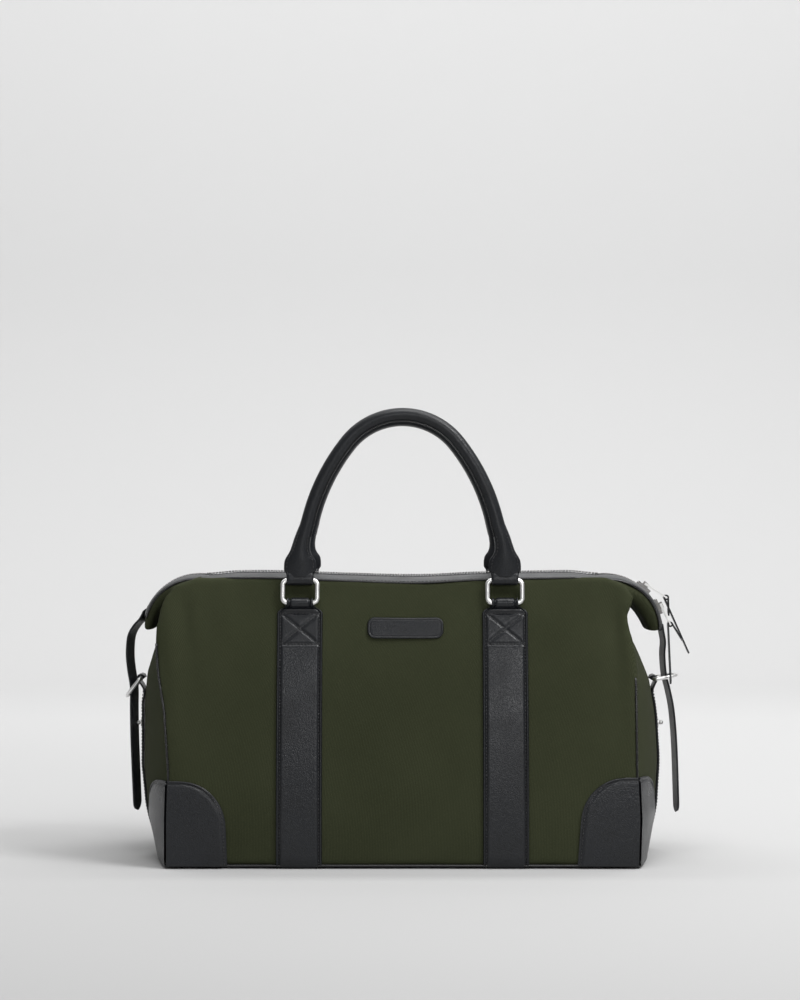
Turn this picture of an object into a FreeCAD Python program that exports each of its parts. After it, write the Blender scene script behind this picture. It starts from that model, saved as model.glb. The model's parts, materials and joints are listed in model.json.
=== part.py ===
import FreeCAD, Part

import math
import os

# A fabric and leather duffel bag. Millimetres, X to the right, Y to the back, Z up.
# The origin is on the floor under the middle of the base.

# Body
BASE_DEPTH = 220.0
MOUTH_DEPTH = 136.0
PANEL_HEIGHT = 290.0
PANEL_BULGE = 12.0
CLOTH = 2.0
GUSSET_GAP = 0.9
TRIM_GAP = 0.4
TRIM_THICK = 2.0
AIR = 0.3
PANEL_FOOT = 2.8
PIPING = 2.6

# Leather base, with a pad under its middle that stands level with the bands
BASE_LOW = 2.8
BASE_THICK = 3.0
PAD_LENGTH = 130.0
PAD_WIDTH = 160.0
PAD_CORNER = 14.0

# Leather bands that run under the bag and carry the handles
BAND_X = 103.75
BAND_WIDTH = 46.0
BAND_NECK = 26.0
BAND_THICK = 2.5
BAND_SHOULDER_Z = 256.0
BAND_NECK_Z = 260.5
BAND_TOP_Z = 262.0

# Plain leather patch on the front: centre x and z, half width, half height, corner radius
PATCH = (3.0, 240.5, 38.5, 11.0, 6.5)

# Rectangular rings between the bands and the handles
RING_WIRE = 2.5
RING_SPAN_X = 35.0
RING_SPAN_Z = 23.0
RING_CORNER = 5.0
RING_TILT = 12.0
RING_LOW_Y = -81.0
RING_LOW_Z = 265.0
RING_HIGH_Y = RING_LOW_Y + RING_SPAN_Z * math.sin(math.radians(RING_TILT))
RING_HIGH_Z = RING_LOW_Z + RING_SPAN_Z * math.cos(math.radians(RING_TILT))
LOOP_HOLE = 0.4
LOOP_WALL = 2.0

# Handles
HANDLE_RADIUS = 6.5
HANDLE_BORE = 3.3
HANDLE_CORE = 3.0
HANDLE_HALF_SPAN = 101.5
HANDLE_RISE = 156.0
HANDLE_CROWN = 72.0
HANDLE_SPRING_Z = 299.5
PADDLE_WIDTH = 33.0
PADDLE_THICK = 7.0
PADDLE_FOOT_Z = 291.0
PADDLE_TOP_Z = 318.0
PADDLE_TIP_Z = 347.0

# Mouth flaps and zip
FLAP_HALF_LENGTH = 205.0
FLAP_HINGE_Y = 66.0
FLAP_HINGE_Z = 289.0
FLAP_RISE = 3.5
FACING_THICK = 2.0
FACING_EDGE_Y = 9.0
TAPE_THICK = 1.0
TOOTH_PITCH = 4.0
TOOTH_WIDTH = 1.7
TOOTH_HEIGHT = 2.4

# Folded wings at both ends of the mouth
WING_X = 211.0
WING_Z = 233.0
WING_OUTER = 57.0
WING_WALL = 2.5
# Sections of a wing: angle about its centre line, inner radius, half width
WING_SECTIONS = [
    (81.0, 38.0, 62.0),
    (60.0, 37.0, 58.0),
    (40.0, 36.5, 50.0),
    (20.0, 38.0, 40.0),
    (0.0, 42.0, 29.0),
]
WING_ZIP_TOP = 79.0
ZIP_TAPE_HALF = 13.0
ZIP_TEETH_HALF = 3.2
ZIP_TEETH_OUTER = 60.0

# Straps at both ends, threaded through the D-rings
STRAP_WIDTH = 20.0
STRAP_THICK = 2.5
STRAP_HOLE = 1.8
STRAP_HOLE_HEIGHTS = [140.0, 122.0, 104.0, 86.0, 68.0]
STRAP_TAB_SPAN = 6.0

# D-rings
D_WIRE = 2.0
D_HALF_WIDTH = 15.0
D_REACH = 24.0
D_CORNER = 3.0
D_LOOP_WALL = 1.6
SIDE_BAND_WIDTH = 24.0
SIDE_BAND_THICK = 2.5
STUD_Z = 137.0

# Zip sliders and their pulls, all parked on the right wing
SLIDER_HALF_LENGTH = 8.0
SLIDER_HALF_WIDTH = 6.2
CROWN_RADIUS = 64.6
PIN_RADIUS = 0.7
SLIDER_NAMES = ["upper", "lower"]
SLIDER_ANGLE = {"upper": 48.0, "lower": 24.0}
PULLER_LENGTH = {"upper": 25.0, "lower": 22.0}
PULLER_ANGLE = {"upper": -33.0, "lower": -65.0}
PULL_LENGTH = {"upper": 72.0, "lower": 66.0}
PULL_ANGLE = {"upper": -64.0, "lower": -90.0}
PULL_SHORT_LENGTH = {"upper": 20.0, "lower": 21.0}
PULL_SHORT_SPREAD = {"upper": -22.0, "lower": 30.0}
PULL_LEAN = {"upper": 24.0, "lower": -24.0}

# The two ends differ. Their x values are distances from the middle of the bag.
SIDES = ["left", "right"]
SIGN = {"left": -1.0, "right": 1.0}
# Rows of an end panel: height, x of its side seams, x of its middle
GUSSET = {
    "right": [(3.0, 235.5, 251.0), (50.0, 237.5, 262.0), (100.0, 234.5, 265.0), (150.0, 235.0, 262.0),
              (183.0, 236.0, 256.5), (215.0, 236.5, 243.0), (240.0, 236.0, 231.0), (256.0, 235.0, 224.0)],
    "left": [(3.0, 235.5, 251.0), (50.0, 235.0, 264.0), (94.0, 233.5, 268.5), (158.0, 240.0, 268.5),
             (191.0, 246.0, 265.0), (215.0, 248.0, 257.0), (238.0, 249.5, 244.0), (253.0, 248.0, 233.0)],
}
SHOULDER = {
    "right": [(232.0, 262.0), (222.0, 279.0), (205.0, PANEL_HEIGHT)],
    "left": [(246.0, 262.0), (233.0, 281.0), (209.0, PANEL_HEIGHT)],
}
D_PIVOT = {"right": (261.5, 183.0), "left": (272.0, 184.0)}
D_ANGLE = {"right": 8.0, "left": -52.0}
STRAP_START_ANGLE = {"right": -1.9, "left": 12.0}
ZIP_END_ANGLE = {"right": 8.5, "left": 22.5}
STRAP_PATH = {
    "right": [(270.6, 231.0), (272.2, 221.0), (271.5, 208.0), (273.0, 188.0), (277.0, 171.0),
              (281.0, 150.0), (284.0, 113.0), (286.0, 43.0)],
    "left": [(269.9, 245.6), (277.0, 238.5), (283.0, 227.0), (284.5, 209.0), (283.0, 192.0),
             (280.3, 174.0), (280.2, 150.0), (279.5, 116.0), (277.0, 45.0)],
}


X_AXIS = (1, 0, 0)
Y_AXIS = (0, 1, 0)


def vec(x, y, z):
    return FreeCAD.Vector(x, y, z)


def save(name, shape):
    shape.exportStep("parts/" + name + ".step")


def mirror_y(shape):
    return shape.mirror(vec(0, 0, 0), vec(0, 1, 0))


def mirror_x(shape):
    return shape.mirror(vec(0, 0, 0), vec(1, 0, 0))


def sided(shape, side):
    """Shapes are drawn on the right. The left ones are their mirror image."""
    return shape if side == "right" else mirror_x(shape)


def fuse_all(shapes):
    return shapes[0].multiFuse(shapes[1:]).removeSplitter()


def box_between(low, high):
    return Part.makeBox(high[0] - low[0], high[1] - low[1], high[2] - low[2], vec(*low))


def rod_through(middle, axis, radius, half_length):
    """A round rod whose middle is at middle."""
    start = vec(*middle).sub(vec(*axis).multiply(half_length))
    return Part.makeCylinder(radius, 2 * half_length, start, vec(*axis))


def outline(place, start, *moves):
    """A flat face. A move of one point is a straight line, of two an arc, and of more a smooth curve."""
    edges = []
    here = start
    for move in moves:
        points = [place(*here)] + [place(*point) for point in move]
        if len(move) == 1:
            edges.append(Part.makeLine(points[0], points[1]))
        elif len(move) == 2:
            edges.append(Part.Arc(*points).toShape())
        else:
            curve = Part.BSplineCurve()
            curve.interpolate(points)
            edges.append(curve.toShape())
        here = move[-1]
    return Part.Face(Part.Wire(edges))


def flat_xz(x, z):
    return vec(x, 0, z)


def flat_yz(y, z):
    return vec(0, y, z)


# ---------------------------------------------------------------- front and back surfaces

def panel_arc():
    """Centre and radius of the arc that the front panel follows, from its foot to the mouth."""
    run = (BASE_DEPTH - MOUTH_DEPTH) / 2
    chord = math.hypot(run, PANEL_HEIGHT)
    radius = chord ** 2 / (8 * PANEL_BULGE) + PANEL_BULGE / 2
    reach = radius - PANEL_BULGE
    centre_y = reach * PANEL_HEIGHT / chord - (BASE_DEPTH + MOUTH_DEPTH) / 4
    centre_z = PANEL_HEIGHT / 2 - reach * run / chord
    return centre_y, centre_z, radius


ARC_Y, ARC_Z, ARC_RADIUS = panel_arc()


def front_y(z, lift=0.0):
    """Y of the front surface at height z, lifted outward by lift."""
    return ARC_Y - math.sqrt((ARC_RADIUS + lift) ** 2 - (z - ARC_Z) ** 2)


def front_layer(inner, outer, face):
    """The part of a sheet over the front surface, inner to outer above it, that lies within an XZ face."""
    low, middle, high = -15.0, 150.0, 310.0
    sheet = outline(
        flat_yz,
        (front_y(low, outer), low),
        [(front_y(middle, outer), middle), (front_y(high, outer), high)],
        [(front_y(high, inner), high)],
        [(front_y(middle, inner), middle), (front_y(low, inner), low)],
        [(front_y(low, outer), low)],
    )
    reach = 300.0
    sheet.translate(vec(-reach, 0, 0))
    slab = sheet.extrude(vec(2 * reach, 0, 0))
    punch = face.copy()
    punch.translate(vec(0, -160, 0))
    return slab.common(punch.extrude(vec(0, 140, 0)))


def seam_points(side):
    """The side seam from just above the foot to the shoulder, then over the shoulder to the mouth."""
    points = [(x, z) for z, x, middle in GUSSET[side][1:-1]]
    points += SHOULDER[side]
    return [(SIGN[side] * x, z) for x, z in points]


def panel_face(grow=0.0):
    """Outline of the front panel, grown outward by grow."""
    def grown(points):
        shifted = []
        for x, z in points:
            outward = math.copysign(grow, x)
            lift = grow if z > 278.0 else 0.0
            shifted.append((x + outward, z + lift))
        return shifted

    right = grown(seam_points("right"))
    left = grown(seam_points("left"))
    foot_x = GUSSET["right"][0][1] + grow
    foot_z = PANEL_FOOT - grow
    return outline(
        flat_xz,
        (foot_x, foot_z),
        right,
        [left[-1]],
        left[-2::-1] + [(-foot_x, foot_z)],
        [(foot_x, foot_z)],
    )


def front_panel():
    return front_layer(-CLOTH, 0.0, panel_face())


def front_piping():
    """Corded edge all round the front panel, left open where the bands cross it."""
    frame = panel_face(PIPING).cut(panel_face(AIR))
    piping = front_layer(-0.4, 2.2, frame)
    for sign in (-1.0, 1.0):
        middle = sign * BAND_X
        half = BAND_WIDTH / 2 + AIR
        gap = box_between((middle - half, -150, -10), (middle + half, 0, 40))
        piping = piping.cut(gap)
    return piping


# ---------------------------------------------------------------- end panels

def gusset_half_depth(z):
    return -front_y(z) - CLOTH - GUSSET_GAP


def gusset_section(z, seam_x, middle_x, inner, outer):
    """Closed arc-shaped section of an end panel at height z, from inner to outer above its surface."""
    half = gusset_half_depth(z)
    centre = Part.Circle(vec(seam_x, -half, z), vec(middle_x, 0, z), vec(seam_x, half, z)).Center
    toward = 1.0 if middle_x > seam_x else -1.0

    def lifted(x, y, lift):
        ray = vec(x, y, z).sub(centre)
        ray.normalize()
        return vec(x, y, z).add(ray.multiply(lift * toward))

    rims = []
    for lift in (outer, inner):
        points = [lifted(seam_x, -half, lift), lifted(middle_x, 0, lift), lifted(seam_x, half, lift)]
        rims.append(points)
    edges = [
        Part.Arc(*rims[0]).toShape(),
        Part.makeLine(rims[0][2], rims[1][2]),
        Part.Arc(rims[1][2], rims[1][1], rims[1][0]).toShape(),
        Part.makeLine(rims[1][0], rims[0][0]),
    ]
    return Part.Wire(edges)


def gusset_layer(side, inner, outer):
    """A sheet over an end panel, drawn on the right."""
    wires = [gusset_section(z, seam, middle, inner, outer) for z, seam, middle in GUSSET[side]]
    return Part.makeLoft(wires, True, True)


def gusset_middle(side, z):
    """X of the middle of an end panel at height z."""
    rows = GUSSET[side]
    for low, high in zip(rows, rows[1:]):
        if z <= high[0]:
            share = (z - low[0]) / (high[0] - low[0])
            return low[2] + share * (high[2] - low[2])
    return rows[-1][2]


def gusset(side):
    return sided(gusset_layer(side, -CLOTH, 0.0), side)


def mouth_end(side):
    """Upright fabric end of the mouth, between the mouth flaps and the wing."""
    plate = outline(flat_yz, (-58, 259), [(58, 259)], [(60, 285)], [(-60, 285)], [(-58, 259)])
    plate.translate(vec(207.5, 0, 0))
    return sided(plate.extrude(vec(CLOTH, 0, 0)), side)


def base_plate(inset, low, high):
    """Plan of the base, drawn in from the walls by inset."""
    x = GUSSET["right"][0][1] - inset
    y = BASE_DEPTH / 2 - inset
    middle = GUSSET["right"][0][2] - inset
    face = outline(
        lambda a, b: vec(a, b, low),
        (-x, -y),
        [(x, -y)],
        [(middle, 0), (x, y)],
        [(-x, y)],
        [(-middle, 0), (-x, -y)],
    )
    return face.extrude(vec(0, 0, high - low))


def base_panel():
    """Leather base with its wear pad."""
    pad = box_between((-PAD_LENGTH / 2, -PAD_WIDTH / 2, 0.0), (PAD_LENGTH / 2, PAD_WIDTH / 2, BASE_LOW))
    uprights = [edge for edge in pad.Edges if edge.BoundBox.ZLength > 1.0]
    pad = pad.makeFillet(PAD_CORNER, uprights)
    return base_plate(3.2, BASE_LOW, BASE_LOW + BASE_THICK).fuse(pad)


def lining():
    """Thin inner bag, open at the top."""
    def tub(inset, low, high):
        def ring(x, y, z):
            corners = [vec(-x, -y, z), vec(x, -y, z), vec(x, y, z), vec(-x, y, z)]
            return Part.makePolygon(corners + corners[:1])

        foot = ring(228 - inset, 102 - inset, low)
        rim = ring(214 - inset, 69 - inset, high)
        return Part.makeLoft([foot, rim], True, True)

    return tub(0.0, 8.7, 254.0).cut(tub(1.2, 9.9, 256.0))


# ---------------------------------------------------------------- leather trim

def handle_band(side):
    """One leather band from the front ring, down, under the base and up to the back ring."""
    half = BAND_WIDTH / 2
    neck = BAND_NECK / 2
    face = outline(
        flat_xz,
        (BAND_X - half, 0.0),
        [(BAND_X + half, 0.0)],
        [(BAND_X + half, BAND_SHOULDER_Z)],
        [(BAND_X + neck, BAND_NECK_Z)],
        [(BAND_X + neck, BAND_TOP_Z)],
        [(BAND_X - neck, BAND_TOP_Z)],
        [(BAND_X - neck, BAND_NECK_Z)],
        [(BAND_X - half, BAND_SHOULDER_Z)],
        [(BAND_X - half, 0.0)],
    )
    front = front_layer(AIR, AIR + BAND_THICK, face)
    bar = (BAND_X, RING_LOW_Y, RING_LOW_Z)
    hole = RING_WIRE + LOOP_HOLE
    front = front.fuse(rod_through(bar, X_AXIS, hole + LOOP_WALL, neck))
    front = front.cut(rod_through(bar, X_AXIS, hole, neck + 1))
    reach = -front_y(0.0, BAND_THICK)
    under = box_between((BAND_X - half, -reach, 0.0), (BAND_X + half, reach, BAND_THICK))
    return sided(fuse_all([under, front, mirror_y(front)]), side)


def patch_face():
    """Plain name patch: a rectangle with round corners."""
    x, z, half_x, half_z, radius = PATCH
    turn = radius * (1 - math.sqrt(0.5))
    left, right = x - half_x, x + half_x
    low, high = z - half_z, z + half_z
    return outline(
        flat_xz,
        (left + radius, low),
        [(right - radius, low)],
        [(right - turn, low + turn), (right, low + radius)],
        [(right, high - radius)],
        [(right - turn, high - turn), (right - radius, high)],
        [(left + radius, high)],
        [(left + turn, high - turn), (left, high - radius)],
        [(left, low + radius)],
        [(left + turn, low + turn), (left + radius, low)],
    )


def corner_guard(side):
    """Front corner patch and the patch beside it on the end panel, as two pieces."""
    width, height, radius = 57.0, 90.0, 45.0
    seam = min(x for z, x, middle in GUSSET[side]) - 1.0
    turn = radius * math.sqrt(0.5)
    face = outline(
        flat_xz,
        (seam, PANEL_FOOT),
        [(seam, height)],
        [(seam - width + radius, height)],
        [(seam - width + radius - turn, height - radius + turn), (seam - width, height - radius)],
        [(seam - width, PANEL_FOOT)],
        [(seam, PANEL_FOOT)],
    )
    front = front_layer(AIR, AIR + TRIM_THICK, face)
    start = -gusset_half_depth(height) - 6.0
    cutter = outline(
        flat_yz,
        (start - 20, 0.0),
        [(start - 20, height)],
        [(start + width - radius, height)],
        [(start + width - radius + turn, height - radius + turn), (start + width, height - radius)],
        [(start + width, 0.0)],
        [(start - 20, 0.0)],
    )
    cutter.translate(vec(200, 0, 0))
    end = gusset_layer(side, TRIM_GAP, TRIM_GAP + TRIM_THICK).common(cutter.extrude(vec(100, 0, 0)))
    return sided(Part.makeCompound([front, end]), side)


def side_band(side):
    """Leather band down the middle of an end panel, with the loop that holds the D-ring."""
    half = SIDE_BAND_WIDTH / 2
    x, z = D_PIVOT[side]
    hole = D_WIRE + LOOP_HOLE
    slab = gusset_layer(side, TRIM_GAP, TRIM_GAP + SIDE_BAND_THICK)
    slab = slab.common(box_between((200, -half, 0), (300, half, z - hole)))
    loop = rod_through((x, 0, z), Y_AXIS, hole + D_LOOP_WALL, half)
    tongue_x = gusset_middle(side, z - 7.0) + TRIM_GAP
    tongue = box_between((tongue_x, -half, z - 6.5), (x, half, z))
    band = fuse_all([slab, loop, tongue]).cut(rod_through((x, 0, z), Y_AXIS, hole, half + 1))
    return sided(band, side)


def stud(side):
    """Round-headed button stud that the strap's holes button onto."""
    x = gusset_middle(side, STUD_Z) + TRIM_GAP + SIDE_BAND_THICK + 2 * AIR
    flange = Part.makeCylinder(4.2, 0.8, vec(x, 0, STUD_Z), vec(1, 0, 0))
    neck = Part.makeCylinder(1.5, 3.0, vec(x, 0, STUD_Z), vec(1, 0, 0))
    head = Part.makeSphere(2.4, vec(x + 3.3, 0, STUD_Z))
    return sided(fuse_all([flange, neck, head]), side)


# ---------------------------------------------------------------- straps and D-rings

def strap(side):
    """End strap: a leather ribbon with a round tail and button holes."""
    points = [vec(x, 0, z) for x, z in STRAP_PATH[side]]
    path = Part.BSplineCurve()
    path.interpolate(points)
    rims = []
    for sign in (1.0, -1.0):
        rim = []
        for point in points:
            tangent = path.tangent(path.parameter(point))[0]
            normal = vec(-tangent.z, 0, tangent.x)
            rim.append(point.add(normal.multiply(sign * STRAP_THICK / 2)))
        rims.append(rim)
    edges = []
    for rim in (rims[0], rims[1][::-1]):
        curve = Part.BSplineCurve()
        curve.interpolate(rim)
        edges.append(curve.toShape())
    edges.insert(1, Part.makeLine(rims[0][-1], rims[1][-1]))
    edges.append(Part.makeLine(rims[1][0], rims[0][0]))
    half = STRAP_WIDTH / 2
    face = Part.Face(Part.Wire(edges))
    face.translate(vec(0, -half, 0))
    ribbon = face.extrude(vec(0, STRAP_WIDTH, 0))

    foot = STRAP_PATH[side][-1][1]
    shape = outline(
        flat_yz,
        (-half, 260),
        [(-half, foot + half)],
        [(0, foot), (half, foot + half)],
        [(half, 260)],
        [(-half, 260)],
    )
    shape.translate(vec(240, 0, 0))
    ribbon = ribbon.common(shape.extrude(vec(60, 0, 0)))
    for height in STRAP_HOLE_HEIGHTS:
        ribbon = ribbon.cut(Part.makeCylinder(STRAP_HOLE, 60, vec(250, 0, height), vec(1, 0, 0)))
    return sided(ribbon, side)


def bent_rod(stretches, radius):
    """A round rod. A stretch of two points is straight, and one of three is an arc."""
    pieces = []
    for points in stretches:
        start, end = points[0], points[-1]
        if len(points) == 2:
            pieces.append(Part.makeCylinder(radius, start.distanceToPoint(end), start, end.sub(start)))
            continue
        centre = Part.Circle(*points).Center
        first, middle, last = [point.sub(centre) for point in points]
        axis = first.cross(middle)
        turn = math.degrees(first.getAngle(last))
        section = Part.Face(Part.Wire(Part.makeCircle(radius, start, axis.cross(first))))
        pieces.append(section.revolve(centre, axis, turn))
    return fuse_all(pieces)


def round_corner(low, corner, high, radius):
    """Start, middle and end of the arc that rounds a square corner between two other points."""
    back = low.sub(corner)
    ahead = high.sub(corner)
    back.normalize()
    ahead.normalize()
    middle = corner.add(vec(*back.add(ahead)).multiply(radius * (1 - math.sqrt(0.5))))
    return corner.add(back.multiply(radius)), middle, corner.add(ahead.multiply(radius))


def d_ring(side):
    x, z = D_PIVOT[side]
    half = D_HALF_WIDTH
    bend = D_REACH - half
    near_low, near_high = vec(0, -half, 0), vec(0, half, 0)
    far_low, far_high = vec(bend, -half, 0), vec(bend, half, 0)
    high = round_corner(near_low, near_high, far_high, D_CORNER)
    low = round_corner(far_low, near_low, near_high, D_CORNER)
    bow = (far_high, vec(D_REACH, 0, 0), far_low)
    ring = bent_rod([(low[2], high[0]), high, (high[2], far_high), bow, (far_low, low[0]), low], D_WIRE)
    ring.rotate(vec(0, 0, 0), vec(0, 1, 0), -D_ANGLE[side])
    ring.translate(vec(x, 0, z))
    return sided(ring, side)


def handle_ring(side):
    """Rectangular ring: the band's loop holds its lower bar, and the handle's loop its upper one."""
    half = RING_SPAN_X / 2
    corners = [vec(-half, 0, 0), vec(half, 0, 0), vec(half, 0, RING_SPAN_Z), vec(-half, 0, RING_SPAN_Z)]
    bends = []
    for index, corner in enumerate(corners):
        bends.append(round_corner(corners[index - 1], corner, corners[(index + 1) % 4], RING_CORNER))
    stretches = list(bends)
    stretches += [(bends[index - 1][2], bend[0]) for index, bend in enumerate(bends)]
    ring = bent_rod(stretches, RING_WIRE)
    ring.rotate(vec(0, 0, 0), vec(1, 0, 0), -RING_TILT)
    ring.translate(vec(SIGN[side] * BAND_X, RING_LOW_Y, RING_LOW_Z))
    return ring


# ---------------------------------------------------------------- handles

def handle_arcs():
    """Radius of the arch's side arcs, which meet the crown arc smoothly, and the angle where they meet it."""
    crown_z = HANDLE_RISE - HANDLE_CROWN
    side = (HANDLE_HALF_SPAN ** 2 + crown_z ** 2 - HANDLE_CROWN ** 2) / (2 * (HANDLE_HALF_SPAN - HANDLE_CROWN))
    return side, math.atan2(crown_z, side - HANDLE_HALF_SPAN)


def arch_side_point(angle):
    """A point on the right side arc of the handle, at an angle above its springing."""
    side = handle_arcs()[0]
    x = HANDLE_HALF_SPAN - side + side * math.cos(angle)
    return vec(x, RING_HIGH_Y, HANDLE_SPRING_Z + side * math.sin(angle))


def arch_tube(radius, foot):
    """A round rod along the handle's arch, whose ends stand foot above its springing."""
    side, meet = handle_arcs()
    low = math.asin(foot / side)
    right = [arch_side_point(low), arch_side_point((low + meet) / 2), arch_side_point(meet)]
    left = [vec(-point.x, point.y, point.z) for point in right[::-1]]
    crown = [right[2], vec(0, RING_HIGH_Y, HANDLE_SPRING_Z + HANDLE_RISE), left[0]]
    return bent_rod([right, crown, left], radius)


def flat_oval(x, z, width, thick):
    """A flat oval section of the handle at height z."""
    middle = vec(x, RING_HIGH_Y, z)
    oval = Part.Ellipse(middle.add(vec(width / 2, 0, 0)), middle.add(vec(0, thick / 2, 0)), middle)
    return Part.Wire(oval.toShape())


def paddle():
    """Flared flat end of the right leg of the handle, with its loop round the ring's upper bar."""
    side = handle_arcs()[0]
    tip_x = arch_side_point(math.asin((PADDLE_TIP_Z - HANDLE_SPRING_Z) / side)).x
    flare = Part.makeLoft([
        flat_oval(BAND_X, PADDLE_TOP_Z, PADDLE_WIDTH, PADDLE_THICK),
        flat_oval((BAND_X + tip_x) / 2, (PADDLE_TOP_Z + PADDLE_TIP_Z) / 2, 21.0, 10.5),
        flat_oval(tip_x, PADDLE_TIP_Z, 14.6, 14.2),
    ], True)
    foot = Part.Face(flat_oval(BAND_X, PADDLE_FOOT_Z, PADDLE_WIDTH, PADDLE_THICK))
    foot = foot.extrude(vec(0, 0, PADDLE_TOP_Z - PADDLE_FOOT_Z))
    neck = BAND_NECK / 2
    bar = (BAND_X, RING_HIGH_Y, RING_HIGH_Z)
    loop = rod_through(bar, X_AXIS, RING_WIRE + LOOP_HOLE + LOOP_WALL, neck)
    return fuse_all([flare, foot, loop])


def front_handle():
    right = paddle()
    shape = fuse_all([arch_tube(HANDLE_RADIUS, 35.0), right, mirror_x(right)])
    for sign in (-1.0, 1.0):
        bar = (sign * BAND_X, RING_HIGH_Y, RING_HIGH_Z)
        shape = shape.cut(rod_through(bar, X_AXIS, RING_WIRE + LOOP_HOLE, PADDLE_WIDTH))
    return shape.cut(arch_tube(HANDLE_BORE, 51.0))


def front_handle_core():
    return arch_tube(HANDLE_CORE, 52.0)


# ---------------------------------------------------------------- mouth flaps and zip

def raised(shape):
    """Tilts a front flap piece about its hinge, so that the zip makes the ridge of the bag."""
    shape.rotate(vec(0, -FLAP_HINGE_Y, FLAP_HINGE_Z), vec(1, 0, 0), FLAP_RISE)
    return shape


def front_facing():
    top = FLAP_HINGE_Z + FACING_THICK
    return raised(box_between((-FLAP_HALF_LENGTH, 1.5 - FLAP_HINGE_Y, FLAP_HINGE_Z),
                              (FLAP_HALF_LENGTH, -FACING_EDGE_Y, top)))


def front_zip_tape():
    top = FLAP_HINGE_Z - AIR
    return raised(box_between((-FLAP_HALF_LENGTH, -FACING_EDGE_Y - 9, top - TAPE_THICK),
                              (FLAP_HALF_LENGTH, -4.6, top)))


def zip_teeth(shift):
    """A comb of teeth along the front tape, shifted sideways by shift so that two combs mesh."""
    root, tip, back = -2.6, 1.2, -4.3
    count = int(2 * (FLAP_HALF_LENGTH - 3) / TOOTH_PITCH)
    start = -count * TOOTH_PITCH / 2 + shift
    points = []
    for index in range(count):
        left = start + index * TOOTH_PITCH
        points += [(left, root), (left, tip), (left + TOOTH_WIDTH, tip), (left + TOOTH_WIDTH, root)]
    points += [(points[-1][0], back), (points[0][0], back)]
    corners = [vec(x, y, FLAP_HINGE_Z - 1.6) for x, y in points]
    face = Part.Face(Part.makePolygon(corners + corners[:1]))
    return raised(face.extrude(vec(0, 0, TOOTH_HEIGHT)))


# ---------------------------------------------------------------- wings

def ray_point(angle, radius, y=0.0):
    """A point on the right wing at an angle above the horizontal about the wing's centre line."""
    turn = math.radians(angle)
    return vec(WING_X + radius * math.cos(turn), y, WING_Z + radius * math.sin(turn))


def wing_body(wall, low_extra):
    wires = []
    for angle, inner, half in WING_SECTIONS:
        if angle == WING_SECTIONS[0][0]:
            angle += low_extra
        if angle == 0.0 and wall:
            angle = 3.0
        low, high, wide = inner + wall, WING_OUTER - wall, half - wall
        corners = [ray_point(angle, radius, y) for radius, y in [(low, -wide), (high, -wide), (high, wide), (low, wide)]]
        wires.append(Part.makePolygon(corners + corners[:1]))
    return Part.makeLoft(wires, True, True)


def wing_shell(side):
    """Hollow folded end of the bag's mouth: closed at the tip, open toward the mouth."""
    return sided(wing_body(0.0, 0.0).cut(wing_body(WING_WALL, 3.0)), side)


def wing_arc_piece(low_angle, high_angle, inner, outer, half):
    """A curved strip over the outside of the wing."""
    middle = (low_angle + high_angle) / 2
    edges = [
        Part.Arc(ray_point(low_angle, outer), ray_point(middle, outer), ray_point(high_angle, outer)).toShape(),
        Part.makeLine(ray_point(high_angle, outer), ray_point(high_angle, inner)),
        Part.Arc(ray_point(high_angle, inner), ray_point(middle, inner), ray_point(low_angle, inner)).toShape(),
        Part.makeLine(ray_point(low_angle, inner), ray_point(low_angle, outer)),
    ]
    face = Part.Face(Part.Wire(edges))
    face.translate(vec(0, -half, 0))
    return face.extrude(vec(0, 2 * half, 0))


def zip_end(side):
    """Zip tape folded down over the wing."""
    inner = WING_OUTER + AIR
    return sided(wing_arc_piece(ZIP_END_ANGLE[side], WING_ZIP_TOP, inner, inner + TAPE_THICK, ZIP_TAPE_HALF), side)


def zip_end_teeth(side):
    """Meshed teeth folded down over the wing, with the metal stop at the end."""
    inner, root, outer = WING_OUTER + 1.5, WING_OUTER + 2.0, ZIP_TEETH_OUTER
    low = ZIP_END_ANGLE[side] + 1.5
    pitch = math.degrees(TOOTH_PITCH / 2 / outer)
    count = int((WING_ZIP_TOP - low) / pitch / 2) * 2
    rim = []
    for index in range(count):
        radius = outer if index % 2 == 0 else root
        rim += [ray_point(low + index * pitch, radius), ray_point(low + (index + 1) * pitch, radius)]
    foot = [ray_point(low + step / 12 * count * pitch, inner) for step in range(12, -1, -1)]
    face = Part.Face(Part.makePolygon(rim + foot + rim[:1]))
    face.translate(vec(0, -ZIP_TEETH_HALF, 0))
    return sided(face.extrude(vec(0, 2 * ZIP_TEETH_HALF, 0)), side)


def strap_tab(side):
    """Leather tab that holds the top of the end strap on the wing."""
    low = STRAP_START_ANGLE[side] + 2.4
    piece = wing_arc_piece(low, low + STRAP_TAB_SPAN, WING_OUTER + AIR, WING_OUTER + 3.0, STRAP_WIDTH / 2 + 1)
    return sided(piece, side)


# ---------------------------------------------------------------- sliders and pulls

def crown_point(name):
    return ray_point(SLIDER_ANGLE[name], CROWN_RADIUS)


def slider(name):
    """Slider body over the teeth, with the crown that holds the puller's pin."""
    long, wide = SLIDER_HALF_LENGTH, SLIDER_HALF_WIDTH
    plate = box_between((-long, -wide, 61.0), (long, wide, 62.6))
    flanges = [box_between((-long, low, 59.3), (long, low + 1.2, 61.2)) for low in (-wide, wide - 1.2)]
    crown = box_between((-3.4, -1.4, 62.4), (3.4, 1.4, 66.4))
    hole = rod_through((0, 0, CROWN_RADIUS), Y_AXIS, PIN_RADIUS + 0.3, 4)
    body = fuse_all([plate, crown] + flanges).cut(hole)
    body.rotate(vec(0, 0, 0), vec(0, 1, 0), 90 - SLIDER_ANGLE[name])
    body.translate(vec(WING_X, 0, WING_Z))
    return body


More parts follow.
